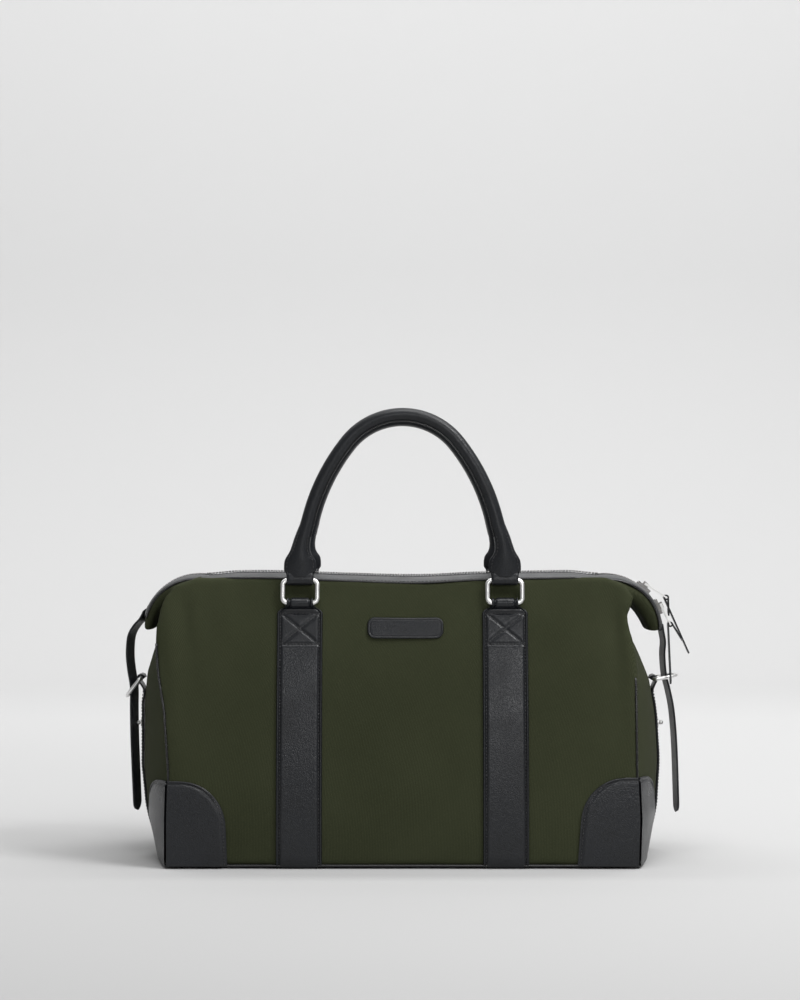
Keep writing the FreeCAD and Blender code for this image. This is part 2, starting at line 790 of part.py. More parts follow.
def puller(name):
    """Metal puller: a forked plate with a pin at one end and a bar for the leather at the other."""
    length = PULLER_LENGTH[name]
    bar_radius = 0.95
    plate = box_between((4.6, -3.6, -0.8), (length - 4, 3.6, 0.8))
    cheeks = [box_between((-1.5, low, -1.2), (5.4, low + 1.5, 1.2)) for low in (-3.4, 1.9)]
    pin = rod_through((0, 0, 0), Y_AXIS, PIN_RADIUS, 3.2)
    frame = box_between((length - 5.2, -6.2, -0.8), (length + 0.5, 6.2, 0.8))
    window = box_between((length - 3.8, -5.0, -2), (length + 2, 5.0, 2))
    bar = rod_through((length, 0, 0), Y_AXIS, bar_radius, 6.0)
    body = fuse_all([plate, pin, frame.cut(window), bar] + cheeks)
    body.rotate(vec(0, 0, 0), vec(0, 1, 0), -PULLER_ANGLE[name])
    body.translate(crown_point(name))
    return body


def puller_end(name):
    turn = math.radians(PULLER_ANGLE[name])
    length = PULLER_LENGTH[name]
    return crown_point(name).add(vec(length * math.cos(turn), 0, length * math.sin(turn)))


def pull(name):
    """Leather pull: a strip folded round the puller's bar, with one long leg and one short leg."""
    hole, wall, half = 1.3, 1.6, 3.6
    reach = PULL_LENGTH[name]
    loop = rod_through((0, 0, 0), Y_AXIS, hole + wall, half)
    long_leg = box_between((0, -half, -hole - wall), (reach - half, half, -hole))
    tail = Part.makeCylinder(half, wall, vec(reach - half, 0, -hole - wall), vec(0, 0, 1))
    short_leg = box_between((0, -half, hole), (PULL_SHORT_LENGTH[name], half, hole + wall))
    for leg in (long_leg, tail, short_leg):
        leg.rotate(vec(0, 0, 0), vec(0, 0, 1), PULL_LEAN[name])
    short_leg.rotate(vec(0, 0, 0), vec(0, 1, 0), -PULL_SHORT_SPREAD[name])
    folded = fuse_all([loop, long_leg, tail, short_leg])
    folded = folded.cut(rod_through((0, 0, 0), Y_AXIS, hole, half + 2))
    folded.rotate(vec(0, 0, 0), vec(0, 1, 0), -PULL_ANGLE[name])
    folded.translate(puller_end(name))
    return folded


# ---------------------------------------------------------------- build

def build_body():
    save("base_panel", base_panel())
    save("base_board", base_plate(8.0, 6.2, 8.2))
    save("front_panel", front_panel())
    save("back_panel", mirror_y(front_panel()))
    save("front_piping", front_piping())
    save("back_piping", mirror_y(front_piping()))
    save("lining", lining())
    save("name_patch", front_layer(AIR, AIR + TRIM_THICK, patch_face()))
    for side in SIDES:
        save(side + "_gusset", gusset(side))
        save(side + "_mouth_end", mouth_end(side))
        save(side + "_handle_band", handle_band(side))
        save("front_" + side + "_corner", corner_guard(side))
        save("back_" + side + "_corner", mirror_y(corner_guard(side)))
        save(side + "_side_band", side_band(side))
        save(side + "_stud", stud(side))
        save(side + "_strap", strap(side))
        save(side + "_d_ring", d_ring(side))


def build_handles():
    for side in SIDES:
        save("front_" + side + "_ring", handle_ring(side))
        save("back_" + side + "_ring", mirror_y(handle_ring(side)))
    save("front_handle", front_handle())
    save("back_handle", mirror_y(front_handle()))
    save("front_handle_core", front_handle_core())
    save("back_handle_core", mirror_y(front_handle_core()))


def build_mouth():
    save("front_facing", front_facing())
    save("back_facing", mirror_y(front_facing()))
    save("front_zip_tape", front_zip_tape())
    save("back_zip_tape", mirror_y(front_zip_tape()))
    save("front_zip_teeth", zip_teeth(0.0))
    save("back_zip_teeth", mirror_y(zip_teeth(TOOTH_PITCH / 2)))
    for side in SIDES:
        save(side + "_wing_shell", wing_shell(side))
        save(side + "_zip_end", zip_end(side))
        save(side + "_zip_end_teeth", zip_end_teeth(side))
        save(side + "_strap_tab", strap_tab(side))


def build_sliders():
    for name in SLIDER_NAMES:
        save(name + "_slider", slider(name))
        save(name + "_puller", puller(name))
        save(name + "_pull", pull(name))


os.makedirs("parts", exist_ok=True)
build_body()
build_handles()
build_mouth()
build_sliders()
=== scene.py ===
import json
import math

import bmesh
import bpy
import numpy as np
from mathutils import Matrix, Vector, noise

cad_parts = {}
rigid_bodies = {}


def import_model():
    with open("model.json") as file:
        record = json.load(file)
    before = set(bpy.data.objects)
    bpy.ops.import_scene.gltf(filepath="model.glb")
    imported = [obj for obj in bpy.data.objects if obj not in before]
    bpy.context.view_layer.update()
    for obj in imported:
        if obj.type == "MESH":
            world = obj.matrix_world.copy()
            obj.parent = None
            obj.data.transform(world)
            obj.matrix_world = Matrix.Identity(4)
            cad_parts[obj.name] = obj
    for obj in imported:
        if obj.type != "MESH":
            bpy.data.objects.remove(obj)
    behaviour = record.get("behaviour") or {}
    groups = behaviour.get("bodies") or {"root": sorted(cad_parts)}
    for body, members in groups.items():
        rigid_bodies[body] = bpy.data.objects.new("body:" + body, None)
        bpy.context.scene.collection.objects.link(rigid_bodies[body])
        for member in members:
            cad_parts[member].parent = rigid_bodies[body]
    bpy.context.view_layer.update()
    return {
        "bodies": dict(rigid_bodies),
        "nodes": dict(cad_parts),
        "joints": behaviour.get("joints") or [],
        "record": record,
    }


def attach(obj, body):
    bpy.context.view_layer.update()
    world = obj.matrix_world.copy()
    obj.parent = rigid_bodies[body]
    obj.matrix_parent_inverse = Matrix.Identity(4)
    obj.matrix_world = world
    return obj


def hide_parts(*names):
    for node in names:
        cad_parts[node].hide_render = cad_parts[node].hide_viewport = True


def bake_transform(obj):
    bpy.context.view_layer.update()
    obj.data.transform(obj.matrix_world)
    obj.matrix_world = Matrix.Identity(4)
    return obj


# A fabric and leather duffel bag. Shapes are worked out in millimetres and placed in metres.
MM = 0.001
SIGN = {"left": -1.0, "right": 1.0}
SIDES = list(SIGN)
FACES = {"front": 1.0, "back": -1.0}
X_AXIS = np.array([1.0, 0.0, 0.0])
Y_AXIS = np.array([0.0, 1.0, 0.0])
Z_AXIS = np.array([0.0, 0.0, 1.0])

# The arc that the front and back panels follow, and how far the mouth sags between the handles
ARC_Y, ARC_Z, ARC_RADIUS = 789.9, 17.7, 900.0
MOUTH_SAG = 4.4
MOUTH_Z = 290.0
MOUTH_Y = 68.0

# Cloth: size of the grid that joins its parts, rounds of smoothing, and thickness
CLOTH_GRID, CLOTH_ROUNDS, CLOTH_THICK = 2.8, 9, 1.6

# Bands, rings and handles
BAND_X = 103.75
BAND_HALF = 23.0
BAND_NECK = 13.4
BOX_HALF, BOX_LOW, BOX_HIGH = 19.0, 223.3, 254.0
RING_LOW = (-81.0, 265.0)
RING_HIGH = (-76.2, 287.5)
LOOP_RADIUS = 2.9
LOOP_THICK = 2.0
HANDLE_RADIUS = 6.9
HANDLE_SPAN = 101.5
HANDLE_SPRING = 299.5
HANDLE_RISE = 156.0
HANDLE_CROWN = 72.0

# Name patch: middle, half sizes and radius of its corners
PATCH_X, PATCH_Z, PATCH_HALF_X, PATCH_HALF_Z, PATCH_RADIUS = 3.0, 241.5, 38.5, 11.4, 8.0

# Leather patches at the lower corners
CORNER_HEIGHT = {"right": 91.0, "left": 87.5}
CORNER_RADIUS = 45.0

# Flaps, and the zip on them
FLAP_HALF = 205.0
FLAP_RISE = 0.061
FACING_Y, FACING_HALF = 37.5, 28.5
TOOTH_PITCH = 3.4

# Folded wings: centre line, and sections of angle, inner radius, outer radius, half width
WING_X, WING_Z, WING_OUTER = 211.0, 233.0, 57.0
WING_SECTIONS = {
    "right": [(100, 30, 57, 64), (81, 36, 57, 62), (60, 37, 57, 58),
              (40, 37, 57, 50), (20, 39, 57, 41), (1, 43, 56, 30)],
    "left": [(100, 30, 57, 64), (81, 38, 57, 62), (60, 41, 57, 58),
             (40, 43, 57, 50), (20, 45, 57, 41), (1, 47, 57, 30)],
}

# Angles on the wings where the zip ends and where the end strap starts
ZIP_END = {"right": 8.5, "left": 22.5}
STRAP_START = {"right": -1.9, "left": 12.0}

# Rows of the end panels: height, x of the side seams, x of the middle
GUSSET = {
    "right": [(3, 236, 251), (50, 237.5, 262), (100, 235.5, 265), (150, 235.5, 262), (183, 235.5, 256.5),
              (215, 233, 243), (240, 227.5, 231), (252, 227, 226), (261, 232, 226), (269, 237, 223),
              (277, 234, 214), (284, 224, 210), (290, 208, 206)],
    "left": [(3, 236, 251), (50, 236, 264), (94, 235, 268.5), (158, 240, 268.5), (191, 246, 265),
             (215, 248.5, 257), (238, 250, 245), (253, 248, 238), (265, 246, 228), (274, 242, 220),
             (281, 234, 213), (286, 224, 210), (290, 210, 206)],
}

# Corded seams, D-rings and end straps
CORD_RADIUS = 1.2
SEAM_TOP = {"right": 190.0, "left": 224.0}
D_PIVOT = {"right": (261.5, 183.0), "left": (272.0, 184.0)}
STRAP_PATH = {
    "right": [(268.9, 242), (270.6, 231), (272.2, 221), (271.5, 208), (273, 188), (277, 171), (281, 150),
              (284, 113), (286, 43.5)],
    "left": [(265.6, 256), (268.4, 249.5), (272, 243.5), (277.5, 237.5), (283, 227), (284.5, 209), (283, 192),
             (280.3, 174), (280.2, 150), (279.5, 116), (277, 45.5)],
}
STRAP_TWIST = {"right": math.radians(8.0), "left": math.radians(16.0)}
STRAP_HOLES = [140.0, 122.0, 104.0, 86.0, 68.0]


# ------------------------ numbers shared by the shapes

def ease(value):
    value = np.clip(value, 0.0, 1.0)
    return value * value * (3 - 2 * value)


def sag(x):
    """How far the mouth hangs down at x."""
    return MOUTH_SAG * (1 - ease((abs(x) - 12.0) / 118.0)) + 0.35 * np.sin(x / 17.0 + 0.8)


def end_drop(x):
    """How far the mouth dips at its two ends, to meet the folded wings."""
    return 2.2 * ease((abs(x) - 172.0) / 32.0)


def mouth_taper(x):
    """How far the sides of the mouth draw in at its two ends."""
    return 8.0 * ease((abs(x) - 168.0) / 37.0)


def settled(points):
    """The points after the top of the bag has sagged between the handles."""
    points = np.array(points, float)
    x, y, z = points.T
    points[:, 2] -= sag(x) * ease((z - 205.0) / 80.0) * (0.45 + 0.55 * ease(abs(y) / 60.0))
    return points


def front_y(z, lift=0.0):
    return ARC_Y - math.sqrt((ARC_RADIUS + lift) ** 2 - (z - ARC_Z) ** 2)


def row_at(side, z, column):
    rows = np.array(GUSSET[side], float)
    return float(np.interp(z, rows[:, 0], rows[:, column]))


def wing_point(side, angle, radius, y=0.0):
    turn = math.radians(angle)
    return (SIGN[side] * (WING_X + radius * math.cos(turn)), y, WING_Z + radius * math.sin(turn))


def wing_half(side, angle):
    rows = np.array(WING_SECTIONS[side][::-1], float)
    return float(np.interp(angle, rows[:, 0], rows[:, 3]))


def unit(vectors):
    return vectors / np.maximum(np.linalg.norm(vectors, axis=-1, keepdims=True), 1e-9)


def curve_through(points, step=2.5):
    """A smooth curve through the points, sampled about step apart. Further columns come along."""
    points = np.array(points, float)
    ends = np.vstack([2 * points[0] - points[1], points, 2 * points[-1] - points[-2]])
    samples = []
    for a, b, c, d in zip(ends, ends[1:], ends[2:], ends[3:]):
        count = max(1, int(np.linalg.norm((c - b)[:3]) / step))
        for t in np.linspace(0, 1, count, endpoint=False):
            cubic = 2 * a - 5 * b + 4 * c - d + t * (3 * b - a - 3 * c + d)
            samples.append(b + 0.5 * t * (c - a + t * cubic))
    samples.append(points[-1])
    return np.array(samples)


# ------------------------ meshes

def place(name, points, faces, look, body=None):
    """A mesh object from points in millimetres."""
    mesh = bpy.data.meshes.new(name)
    mesh.from_pydata((np.array(points, float) * MM).tolist(), [], faces)
    work = bmesh.new()
    work.from_mesh(mesh)
    bmesh.ops.remove_doubles(work, verts=work.verts, dist=0.02 * MM)
    bmesh.ops.recalc_face_normals(work, faces=work.faces)
    work.to_mesh(mesh)
    work.free()
    mesh.polygons.foreach_set("use_smooth", [True] * len(mesh.polygons))
    mesh.materials.append(LOOKS[look][0])
    thing = bpy.data.objects.new(name, mesh)
    bpy.context.scene.collection.objects.link(thing)
    if body:
        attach(thing, body)
    return thing


def grid_faces(rows, columns, start=0, wrap=False):
    """Quads over a grid of points. With wrap, the last column joins the first."""
    faces = []
    for row in range(rows - 1):
        for column in range(columns if wrap else columns - 1):
            after = (column + 1) % columns
            low = start + row * columns
            faces.append((low + column, low + after, low + columns + after, low + columns + column))
    return faces


def padded_grid(base, normal, border, thick, edge):
    """Points and faces of a piece over a grid of base points, whose edges round down to the base."""
    rise = np.sqrt(1 - (1 - np.clip(border / edge, 0, 1)) ** 2)
    top = base + normal * (thick * rise)[..., None]
    rows, columns = border.shape
    points = np.vstack([top.reshape(-1, 3), base.reshape(-1, 3)])
    faces = grid_faces(rows, columns) + [face[::-1] for face in grid_faces(rows, columns, rows * columns)]
    return points, faces


def line_frame(points, across, turn, step=2.5):
    """Centre points, half widths and outward normals along a strip."""
    line = curve_through(points, step)
    normal = turn * unit(np.cross(np.gradient(line[:, :3], axis=0), across))
    return line[:, :3], line[:, 3], normal


def flat(spread):
    return 0.0 * spread


def strip(name, points, across, thick, look, body=None, turn=1.0, edge=1.6, setback=flat, carve=None,
          columns=11, step=2.5):
    """A leather strip along points of x, y, z and half width. Setback curves it back over its width."""
    centre, half, normal = line_frame(points, across, turn, step)
    spread = np.sin(np.linspace(-math.pi / 2, math.pi / 2, columns))
    base = centre[:, None] + across * (half[:, None] * spread)[..., None]
    base = base - normal[:, None] * setback(spread)[None, :, None]
    run = np.concatenate([[0], np.cumsum(np.linalg.norm(np.diff(centre, axis=0), axis=1))])
    ends = np.minimum(run, run[-1] - run)
    border = np.minimum(half[:, None] * (1 - abs(spread)), ends[:, None])
    normals = np.broadcast_to(normal[:, None], base.shape)
    if carve:
        thick = thick * carve(base, border)
    return place(name, *padded_grid(base, normals, border, thick, edge), look, body)


def groove(gap, width=1.1, depth=0.62):
    """Share of the thickness left at a distance from a line of stitches that pulls the leather down."""
    return 1 - depth * np.exp(-(gap / width) ** 2)


def rail(points, across, turn, inset, lift, side):
    """A line along one side of a strip, inset from its edge and lifted off it."""
    centre, half, normal = line_frame(points, across, turn)
    return centre + across * (side * (half - inset))[:, None] + normal * lift, normal


def tube(name, points, radius, look, body=None, sides=10):
    """A round cord along a smooth curve. Its ends are closed."""
    line = curve_through(points, 3.0)
    tangent = unit(np.gradient(line, axis=0))
    guide = np.array([0.02, 0.13, 1.0]) if abs(tangent[:, 2]).mean() < 0.7 else np.array([0.03, 1.0, 0.1])
    first = unit(np.cross(tangent, guide))
    second = np.cross(tangent, first)
    angles = np.linspace(0, 2 * math.pi, sides, endpoint=False)
    ring = first[:, None] * np.cos(angles)[None, :, None] + second[:, None] * np.sin(angles)[None, :, None]
    points = (line[:, None] + radius * ring).reshape(-1, 3)
    faces = grid_faces(len(line), sides, wrap=True)
    faces += [tuple(range(sides)), tuple(range(len(points) - sides, len(points)))]
    return place(name, points, faces, look, body)


def beads(name, spots, forwards, ups, size, look, body=None):
    """Small rounded pieces, such as stitches and teeth. Directions are one for each, or one for all."""
    shape = []
    for level in (-1.0, -0.7, 0.0, 0.7, 1.0):
        width = 0.35 if abs(level) == 1.0 else 0.85 if level else 1.0
        for turn in range(6):
            angle = turn * math.pi / 3
            shape.append((level, width * math.cos(angle), width * math.sin(angle)))
    shape = np.array(shape) * np.array(size) / 2
    faces = grid_faces(5, 6, wrap=True) + [tuple(range(6)), tuple(range(24, 30))]
    forwards, ups = [np.broadcast_to(unit(np.array(turned)), (len(spots), 3)) for turned in (forwards, ups)]
    points, all_faces = [], []
    for spot, forward, up in zip(spots, forwards, ups):
        frame = np.array([forward, unit(np.cross(up, forward)), up])
        all_faces += [tuple(len(points) + corner for corner in face) for face in faces]
        points += list(spot + shape @ frame)
    return place(name, points, all_faces, look, body)


def along(line, normal, pitch):
    """Evenly spaced spots on a line, with the directions there."""
    run = np.concatenate([[0], np.cumsum(np.linalg.norm(np.diff(line, axis=0), axis=1))])
    at = np.arange(pitch / 2, run[-1], pitch)
    spots = np.column_stack([np.interp(at, run, line[:, axis]) for axis in range(3)])
    ups = np.column_stack([np.interp(at, run, normal[:, axis]) for axis in range(3)])
    return spots, np.gradient(spots, axis=0), ups


def stitches(name, rails, body=None, pitch=3.4):
    """Rows of stitches along lines of points and normals."""
    parts = [along(line, normal, pitch) for line, normal in rails]
    spots, forwards, ups = [np.vstack(group) for group in zip(*parts)]
    return beads(name, spots, forwards, ups, (2.5, 1.1, 1.0), "thread", body)


def bend_with_wing(thing):
    """Bakes the piece's placement into its mesh."""
    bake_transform(thing)


def bend_strap(thing):
    """Bakes the piece's placement into its mesh."""
    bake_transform(thing)


# ------------------------ materials

def start_material(name):
    material = bpy.data.materials.new(name)
    material.use_nodes = True
    tree = material.node_tree
    return material, tree, tree.nodes["Principled BSDF"]


def add_node(tree, kind, links=None, **values):
    """A node whose inputs are set from values, and linked from other nodes' outputs."""
    node = tree.nodes.new("ShaderNode" + kind)
    for name, value in values.items():
        if name in node.inputs:
            node.inputs[name].default_value = value
        else:
            setattr(node, name, value)
    for name, socket in (links or {}).items():
        tree.links.new(socket, node.inputs[name])
    return node


def object_place(tree, scale=(1.0, 1.0, 1.0), turn=(0.0, 0.0, 0.0)):
    """Places on the object itself, in metres, stretched and turned."""
    source = add_node(tree, "TexCoord").outputs["Object"]
    return add_node(tree, "Mapping", {"Vector": source}, Scale=scale, Rotation=turn).outputs["Vector"]


def cloudy(tree, scale, detail=4.0, where=None):
    """Soft random variation from 0 to 1, with scale in cells for each metre."""
    where = where or object_place(tree)
    return add_node(tree, "TexNoise", {"Vector": where}, Scale=scale, Detail=detail).outputs["Fac"]


def ramp(tree, value, *stops):
    """Colour from a value, by stops of position and colour."""
    node = add_node(tree, "ValToRGB", {"Fac": value})
    elements = node.color_ramp.elements
    while len(elements) < len(stops):
        elements.new(0.5)
    for element, (position, colour) in zip(elements, stops):
        element.position = position
        element.color = (*colour, 1.0)
    return node.outputs["Color"]


def grey(level):
    return (level, level, level)


def relief(tree, shader, height, depth, strength=1.0, under=None):
    """Bump from a height, with depth in metres."""
    links = {"Height": height}
    if under:
        links["Normal"] = under
    bump = add_node(tree, "Bump", links, Strength=strength, Distance=depth).outputs["Normal"]
    tree.links.new(bump, shader.inputs["Normal"])
    return bump


def combined(tree, first, second, how="ADD"):
    return add_node(tree, "Math", {0: first, 1: second}, operation=how).outputs[0]


def fabric_material(name, dark, light):
    """Twill: fine diagonal ribs crossed by threads, with slow change of colour over the cloth."""
    material, tree, shader = start_material(name)
    ribs = []
    for turn, scale in (((0.0, 0.0, 0.9), 330.0), ((0.0, 0.75, 0.0), 330.0)):
        where = object_place(tree, turn=turn)
        wave = add_node(tree, "TexWave", {"Vector": where}, Scale=scale, Distortion=1.2, Detail=1.5)
        ribs.append(wave.outputs["Fac"])
    weave = combined(tree, *ribs, "MULTIPLY")
    threads = cloudy(tree, 900.0, 2.0)
    slow = ramp(tree, cloudy(tree, 8.0), (0.3, grey(0.0)), (0.7, grey(0.16)))
    mix = combined(tree, slow, combined(tree, threads, weave, "MULTIPLY"))
    tree.links.new(ramp(tree, mix, (0.0, dark), (0.5, light)), shader.inputs["Base Color"])
    tree.links.new(ramp(tree, threads, (0.2, grey(0.78)), (0.8, grey(0.95))), shader.inputs["Roughness"])
    shader.inputs["Sheen Weight"].default_value = 0.015
    shader.inputs["Sheen Roughness"].default_value = 0.4
    shader.inputs["Specular IOR Level"].default_value = 0.06
    relief(tree, shader, combined(tree, weave, threads), 0.0003, 0.7)
    return material


def leather_material(name, dark, light, rough):
    """Pebbled leather: small rounded cells with creases between them. The cell tops are painted lighter, as
    painted highlight, and the creases darker, as painted shade.
    """
    material, tree, shader = start_material(name)
    plain = object_place(tree)
    wander = add_node(tree, "TexNoise", {"Vector": plain}, Scale=240.0, Detail=2.0).outputs["Color"]
    where = add_node(tree, "Mix", {6: plain, 7: wander}, data_type="RGBA", Factor=0.004).outputs[2]
    cells = add_node(tree, "TexVoronoi", {"Vector": where}, Scale=850.0, feature="SMOOTH_F1", Smoothness=0.4)
    grain_and_painted_shade = cells.outputs["Distance"]
    slow = cloudy(tree, 22.0)
    # Base colour: painted highlight on the cell tops and painted shade in the creases, with random tone over
    # both
    tree.links.new(ramp(tree, combined(tree, grain_and_painted_shade, slow, "MULTIPLY"), (0.1, light), (0.5, dark)),
                   shader.inputs["Base Color"])
    tree.links.new(ramp(tree, slow, (0.3, grey(rough - 0.07)), (0.7, grey(rough + 0.09))),
                   shader.inputs["Roughness"])
    shader.inputs["Specular IOR Level"].default_value = 0.38
    fine = relief(tree, shader, cloudy(tree, 1600.0, 3.0), 0.00004, 0.4)
    relief(tree, shader, grain_and_painted_shade, -0.0002, 0.7, fine)
    return material


def edge_material():
    """Painted cut edge and piping: smooth, slightly glossy and faintly streaked."""
    material, tree, shader = start_material("edge_paint")
    streaks = cloudy(tree, 60.0, 5.0, object_place(tree, (1.0, 4.0, 6.0)))
    tree.links.new(ramp(tree, streaks, (0.3, (0.004, 0.004, 0.004)), (0.7, (0.010, 0.010, 0.011))),
                   shader.inputs["Base Color"])
    tree.links.new(ramp(tree, streaks, (0.3, grey(0.2)), (0.7, grey(0.3))), shader.inputs["Roughness"])
    relief(tree, shader, cloudy(tree, 700.0), 0.00003, 0.3)
    return material


def thread_material():
    """Waxed thread with its twist."""
    material, tree, shader = start_material("thread")
    where = object_place(tree, turn=(0.4, 0.9, 0.7))
    twist = add_node(tree, "TexWave", {"Vector": where}, Scale=700.0, Distortion=0.6).outputs["Fac"]
    tree.links.new(ramp(tree, twist, (0.2, (0.006, 0.006, 0.007)), (0.8, (0.022, 0.022, 0.024))),
                   shader.inputs["Base Color"])
    shader.inputs["Roughness"].default_value = 0.4
    relief(tree, shader, twist, 0.0001, 0.5)
    return material


def metal_material(name, dark, light, rough):
    """Satin nickel: faint cloudy tarnish and fine scratches."""
    material, tree, shader = start_material(name)
    clouds = cloudy(tree, 45.0, 6.0)
    scratches = cloudy(tree, 400.0, 3.0, object_place(tree, (1.0, 1.0, 8.0)))
    tree.links.new(ramp(tree, clouds, (0.3, dark), (0.7, light)), shader.inputs["Base Color"])
    tree.links.new(ramp(tree, scratches, (0.3, grey(rough - 0.06)), (0.7, grey(rough + 0.08))),
                   shader.inputs["Roughness"])
    shader.inputs["Metallic"].default_value = 1.0
    relief(tree, shader, scratches, 0.000005, 0.1)
    return material


def board_material():
    """Grey fibre board."""
    material, tree, shader = start_material("board")
    fibres = cloudy(tree, 300.0, 6.0)
    tree.links.new(ramp(tree, fibres, (0.3, (0.09, 0.085, 0.075)), (0.7, (0.16, 0.15, 0.13))),
                   shader.inputs["Base Color"])
    shader.inputs["Roughness"].default_value = 0.9
    relief(tree, shader, fibres, 0.0002)
    return material


def make_looks():
    """Each look's material, and the record's slot that it belongs to."""
    fabrics = [
        ("fabric", "fabric", "green_twill", (0.0255, 0.029, 0.0145), (0.051, 0.057, 0.031)),
        ("lining", "lining_fabric", "lining", (0.020, 0.021, 0.022), (0.038, 0.039, 0.041)),
        ("tape", "leather_edge", "zip_tape", (0.015, 0.015, 0.016), (0.032, 0.032, 0.034)),
    ]
    leathers = [
        ("leather", "leather", "pebble_leather", (0.003, 0.0036, 0.0047), (0.011, 0.0125, 0.0155), 0.33),
        # The facings are the same black leather as the rest, given a lighter base colour: painted highlight
        # for the light that falls on their tops
        ("facing", "leather", "facing_leather", (0.012, 0.013, 0.014), (0.030, 0.032, 0.035), 0.38),
    ]
    metals = [
        ("metal", "steel", "satin_nickel", (0.78, 0.78, 0.77), (0.92, 0.91, 0.90), 0.34),
        ("slider", "zip_metal", "slider_nickel", (0.30, 0.29, 0.28), (0.55, 0.54, 0.53), 0.2),
        ("zip", "zip_metal", "zip_metal", (0.20, 0.20, 0.20), (0.38, 0.37, 0.36), 0.26),
    ]
    looks = {}
    for make, recipes in ((fabric_material, fabrics), (leather_material, leathers), (metal_material, metals)):
        for look, slot, *recipe in recipes:
            looks[look] = (make(*recipe), slot)
    looks["edge"] = (edge_material(), "leather_edge")
    looks["thread"] = (thread_material(), "leather_edge")
    looks["board"] = (board_material(), "board")
    return looks


# ------------------------ fabric skin

def body_section(z):
    """Outline of the body at height z, round from the left end of the front."""
    depth = -front_y(z)
    ends = {side: (row_at(side, z, 1), row_at(side, z, 2)) for side in SIDES}
    front = [(x, -depth, z) for x in np.linspace(-ends["left"][0], ends["right"][0], 24)]
    back = [(point[0], depth, z) for point in front[::-1]]
    rounds = {}
    for side, (seam, middle) in ends.items():
        rounds[side] = [(SIGN[side] * (seam + (middle - seam) * (1 - u * u)), SIGN[side] * u * depth, z)
                        for u in np.linspace(-1, 1, 24)[1:-1]]
    return front + rounds["right"] + back + rounds["left"]


def wing_section(side, angle):
    """Rounded outline of a folded wing at an angle about its centre line."""
    rows = np.array(WING_SECTIONS[side][::-1], float)
    inner, outer, half = [np.interp(angle, rows[:, 0], rows[:, column]) for column in (1, 2, 3)]
    points = []
    for turn in np.linspace(0, 2 * math.pi, 40, endpoint=False):
        out, wide = math.cos(turn), math.sin(turn)
        radius = (inner + outer) / 2 + (outer - inner) / 2 * math.copysign(abs(out) ** 0.6, out)
        points.append(wing_point(side, angle, radius, half * math.copysign(abs(wide) ** 0.45, wide)))
    return points


def closed_loft(sections):
    columns = len(sections[0])
    points = np.array(sections, float).reshape(-1, 3)
    faces = grid_faces(len(sections), columns, wrap=True)
    faces += [tuple(range(columns)), tuple(range(len(points) - columns, len(points)))]
    return points, faces


def fused_surface(lofts, voxel, rounds):
    """One smooth surface round several closed shapes, as points, outward normals and faces."""
    points, faces = [], []
    for loft_points, loft_faces in lofts:
        faces += [tuple(len(points) + corner for corner in face) for face in loft_faces]
        points += loft_points.tolist()
    rough = place("rough", points, faces, "fabric")
    fuse = rough.modifiers.new("fuse", "REMESH")
    fuse.mode = "VOXEL"
    fuse.voxel_size = voxel * MM
    soften = rough.modifiers.new("soften", "SMOOTH")
    soften.factor = 0.5
    soften.iterations = rounds
    mesh = rough.evaluated_get(bpy.context.evaluated_depsgraph_get()).to_mesh()
    points = np.array([vertex.co[:] for vertex in mesh.vertices]) / MM
    normals = np.array([vertex.normal[:] for vertex in mesh.vertices])
    faces = [tuple(polygon.vertices) for polygon in mesh.polygons]
    bpy.data.objects.remove(rough)
    return points, normals, faces


def fold(points, start, end, width, height):
    """A soft ridge, or a hollow if height is negative, along a line on the cloth."""
    start, end = np.array(start, float), np.array(end, float)
    run = end - start
    share = np.clip((points - start) @ run / (run @ run), 0, 1)
    gap = np.linalg.norm(points - start - share[:, None] * run, axis=1)
    return height * np.exp(-(gap / width) ** 2) * np.sin(math.pi * (0.12 + 0.76 * share))


def away_from_seams(points):
    """0 on the corded seams at the ends of the front and back, and 1 away from them."""
    share = np.ones(len(points))
    for side, sign in SIGN.items():
        rows = np.array(GUSSET[side], float)
        gap = abs(sign * points[:, 0] - np.interp(points[:, 2], rows[:, 0], rows[:, 1]))
        share *= 1 - (1 - ease(gap / 13.0)) * ease((SEAM_TOP[side] + 10 - points[:, 2]) / 25.0)
    return share


def cloth_relief(points):
    """How far the cloth swells out or falls in at each point."""
    free = ease((abs(abs(points[:, 0]) - BAND_X) - 20.0) / 22.0)
    broad = np.array([noise.noise(Vector(point / 74.0)) for point in points])
    small = np.array([noise.noise(Vector((x / 24.0, y / 40.0, z / 52.0))) for x, y, z in points])
    high = ease((points[:, 2] - 190.0) / 70.0) * ease((abs(points[:, 0]) - 150.0) / 60.0)
    swell = free * (1.1 * broad + (0.3 + 1.5 * high) * small)
    for face in (-1.0, 1.0):
        swell += fold(points, (226, face * 78, 262), (232, face * 96, 130), 7.0, 3.4)
        swell += fold(points, (214, face * 72, 276), (215, face * 90, 175), 9.0, -2.0)
        swell += fold(points, (-238, face * 77, 262), (-228, face * 93, 150), 9.0, 2.6)
        swell += fold(points, (-222, face * 74, 268), (-212, face * 86, 190), 8.0, -1.8)
    return swell * away_from_seams(points)


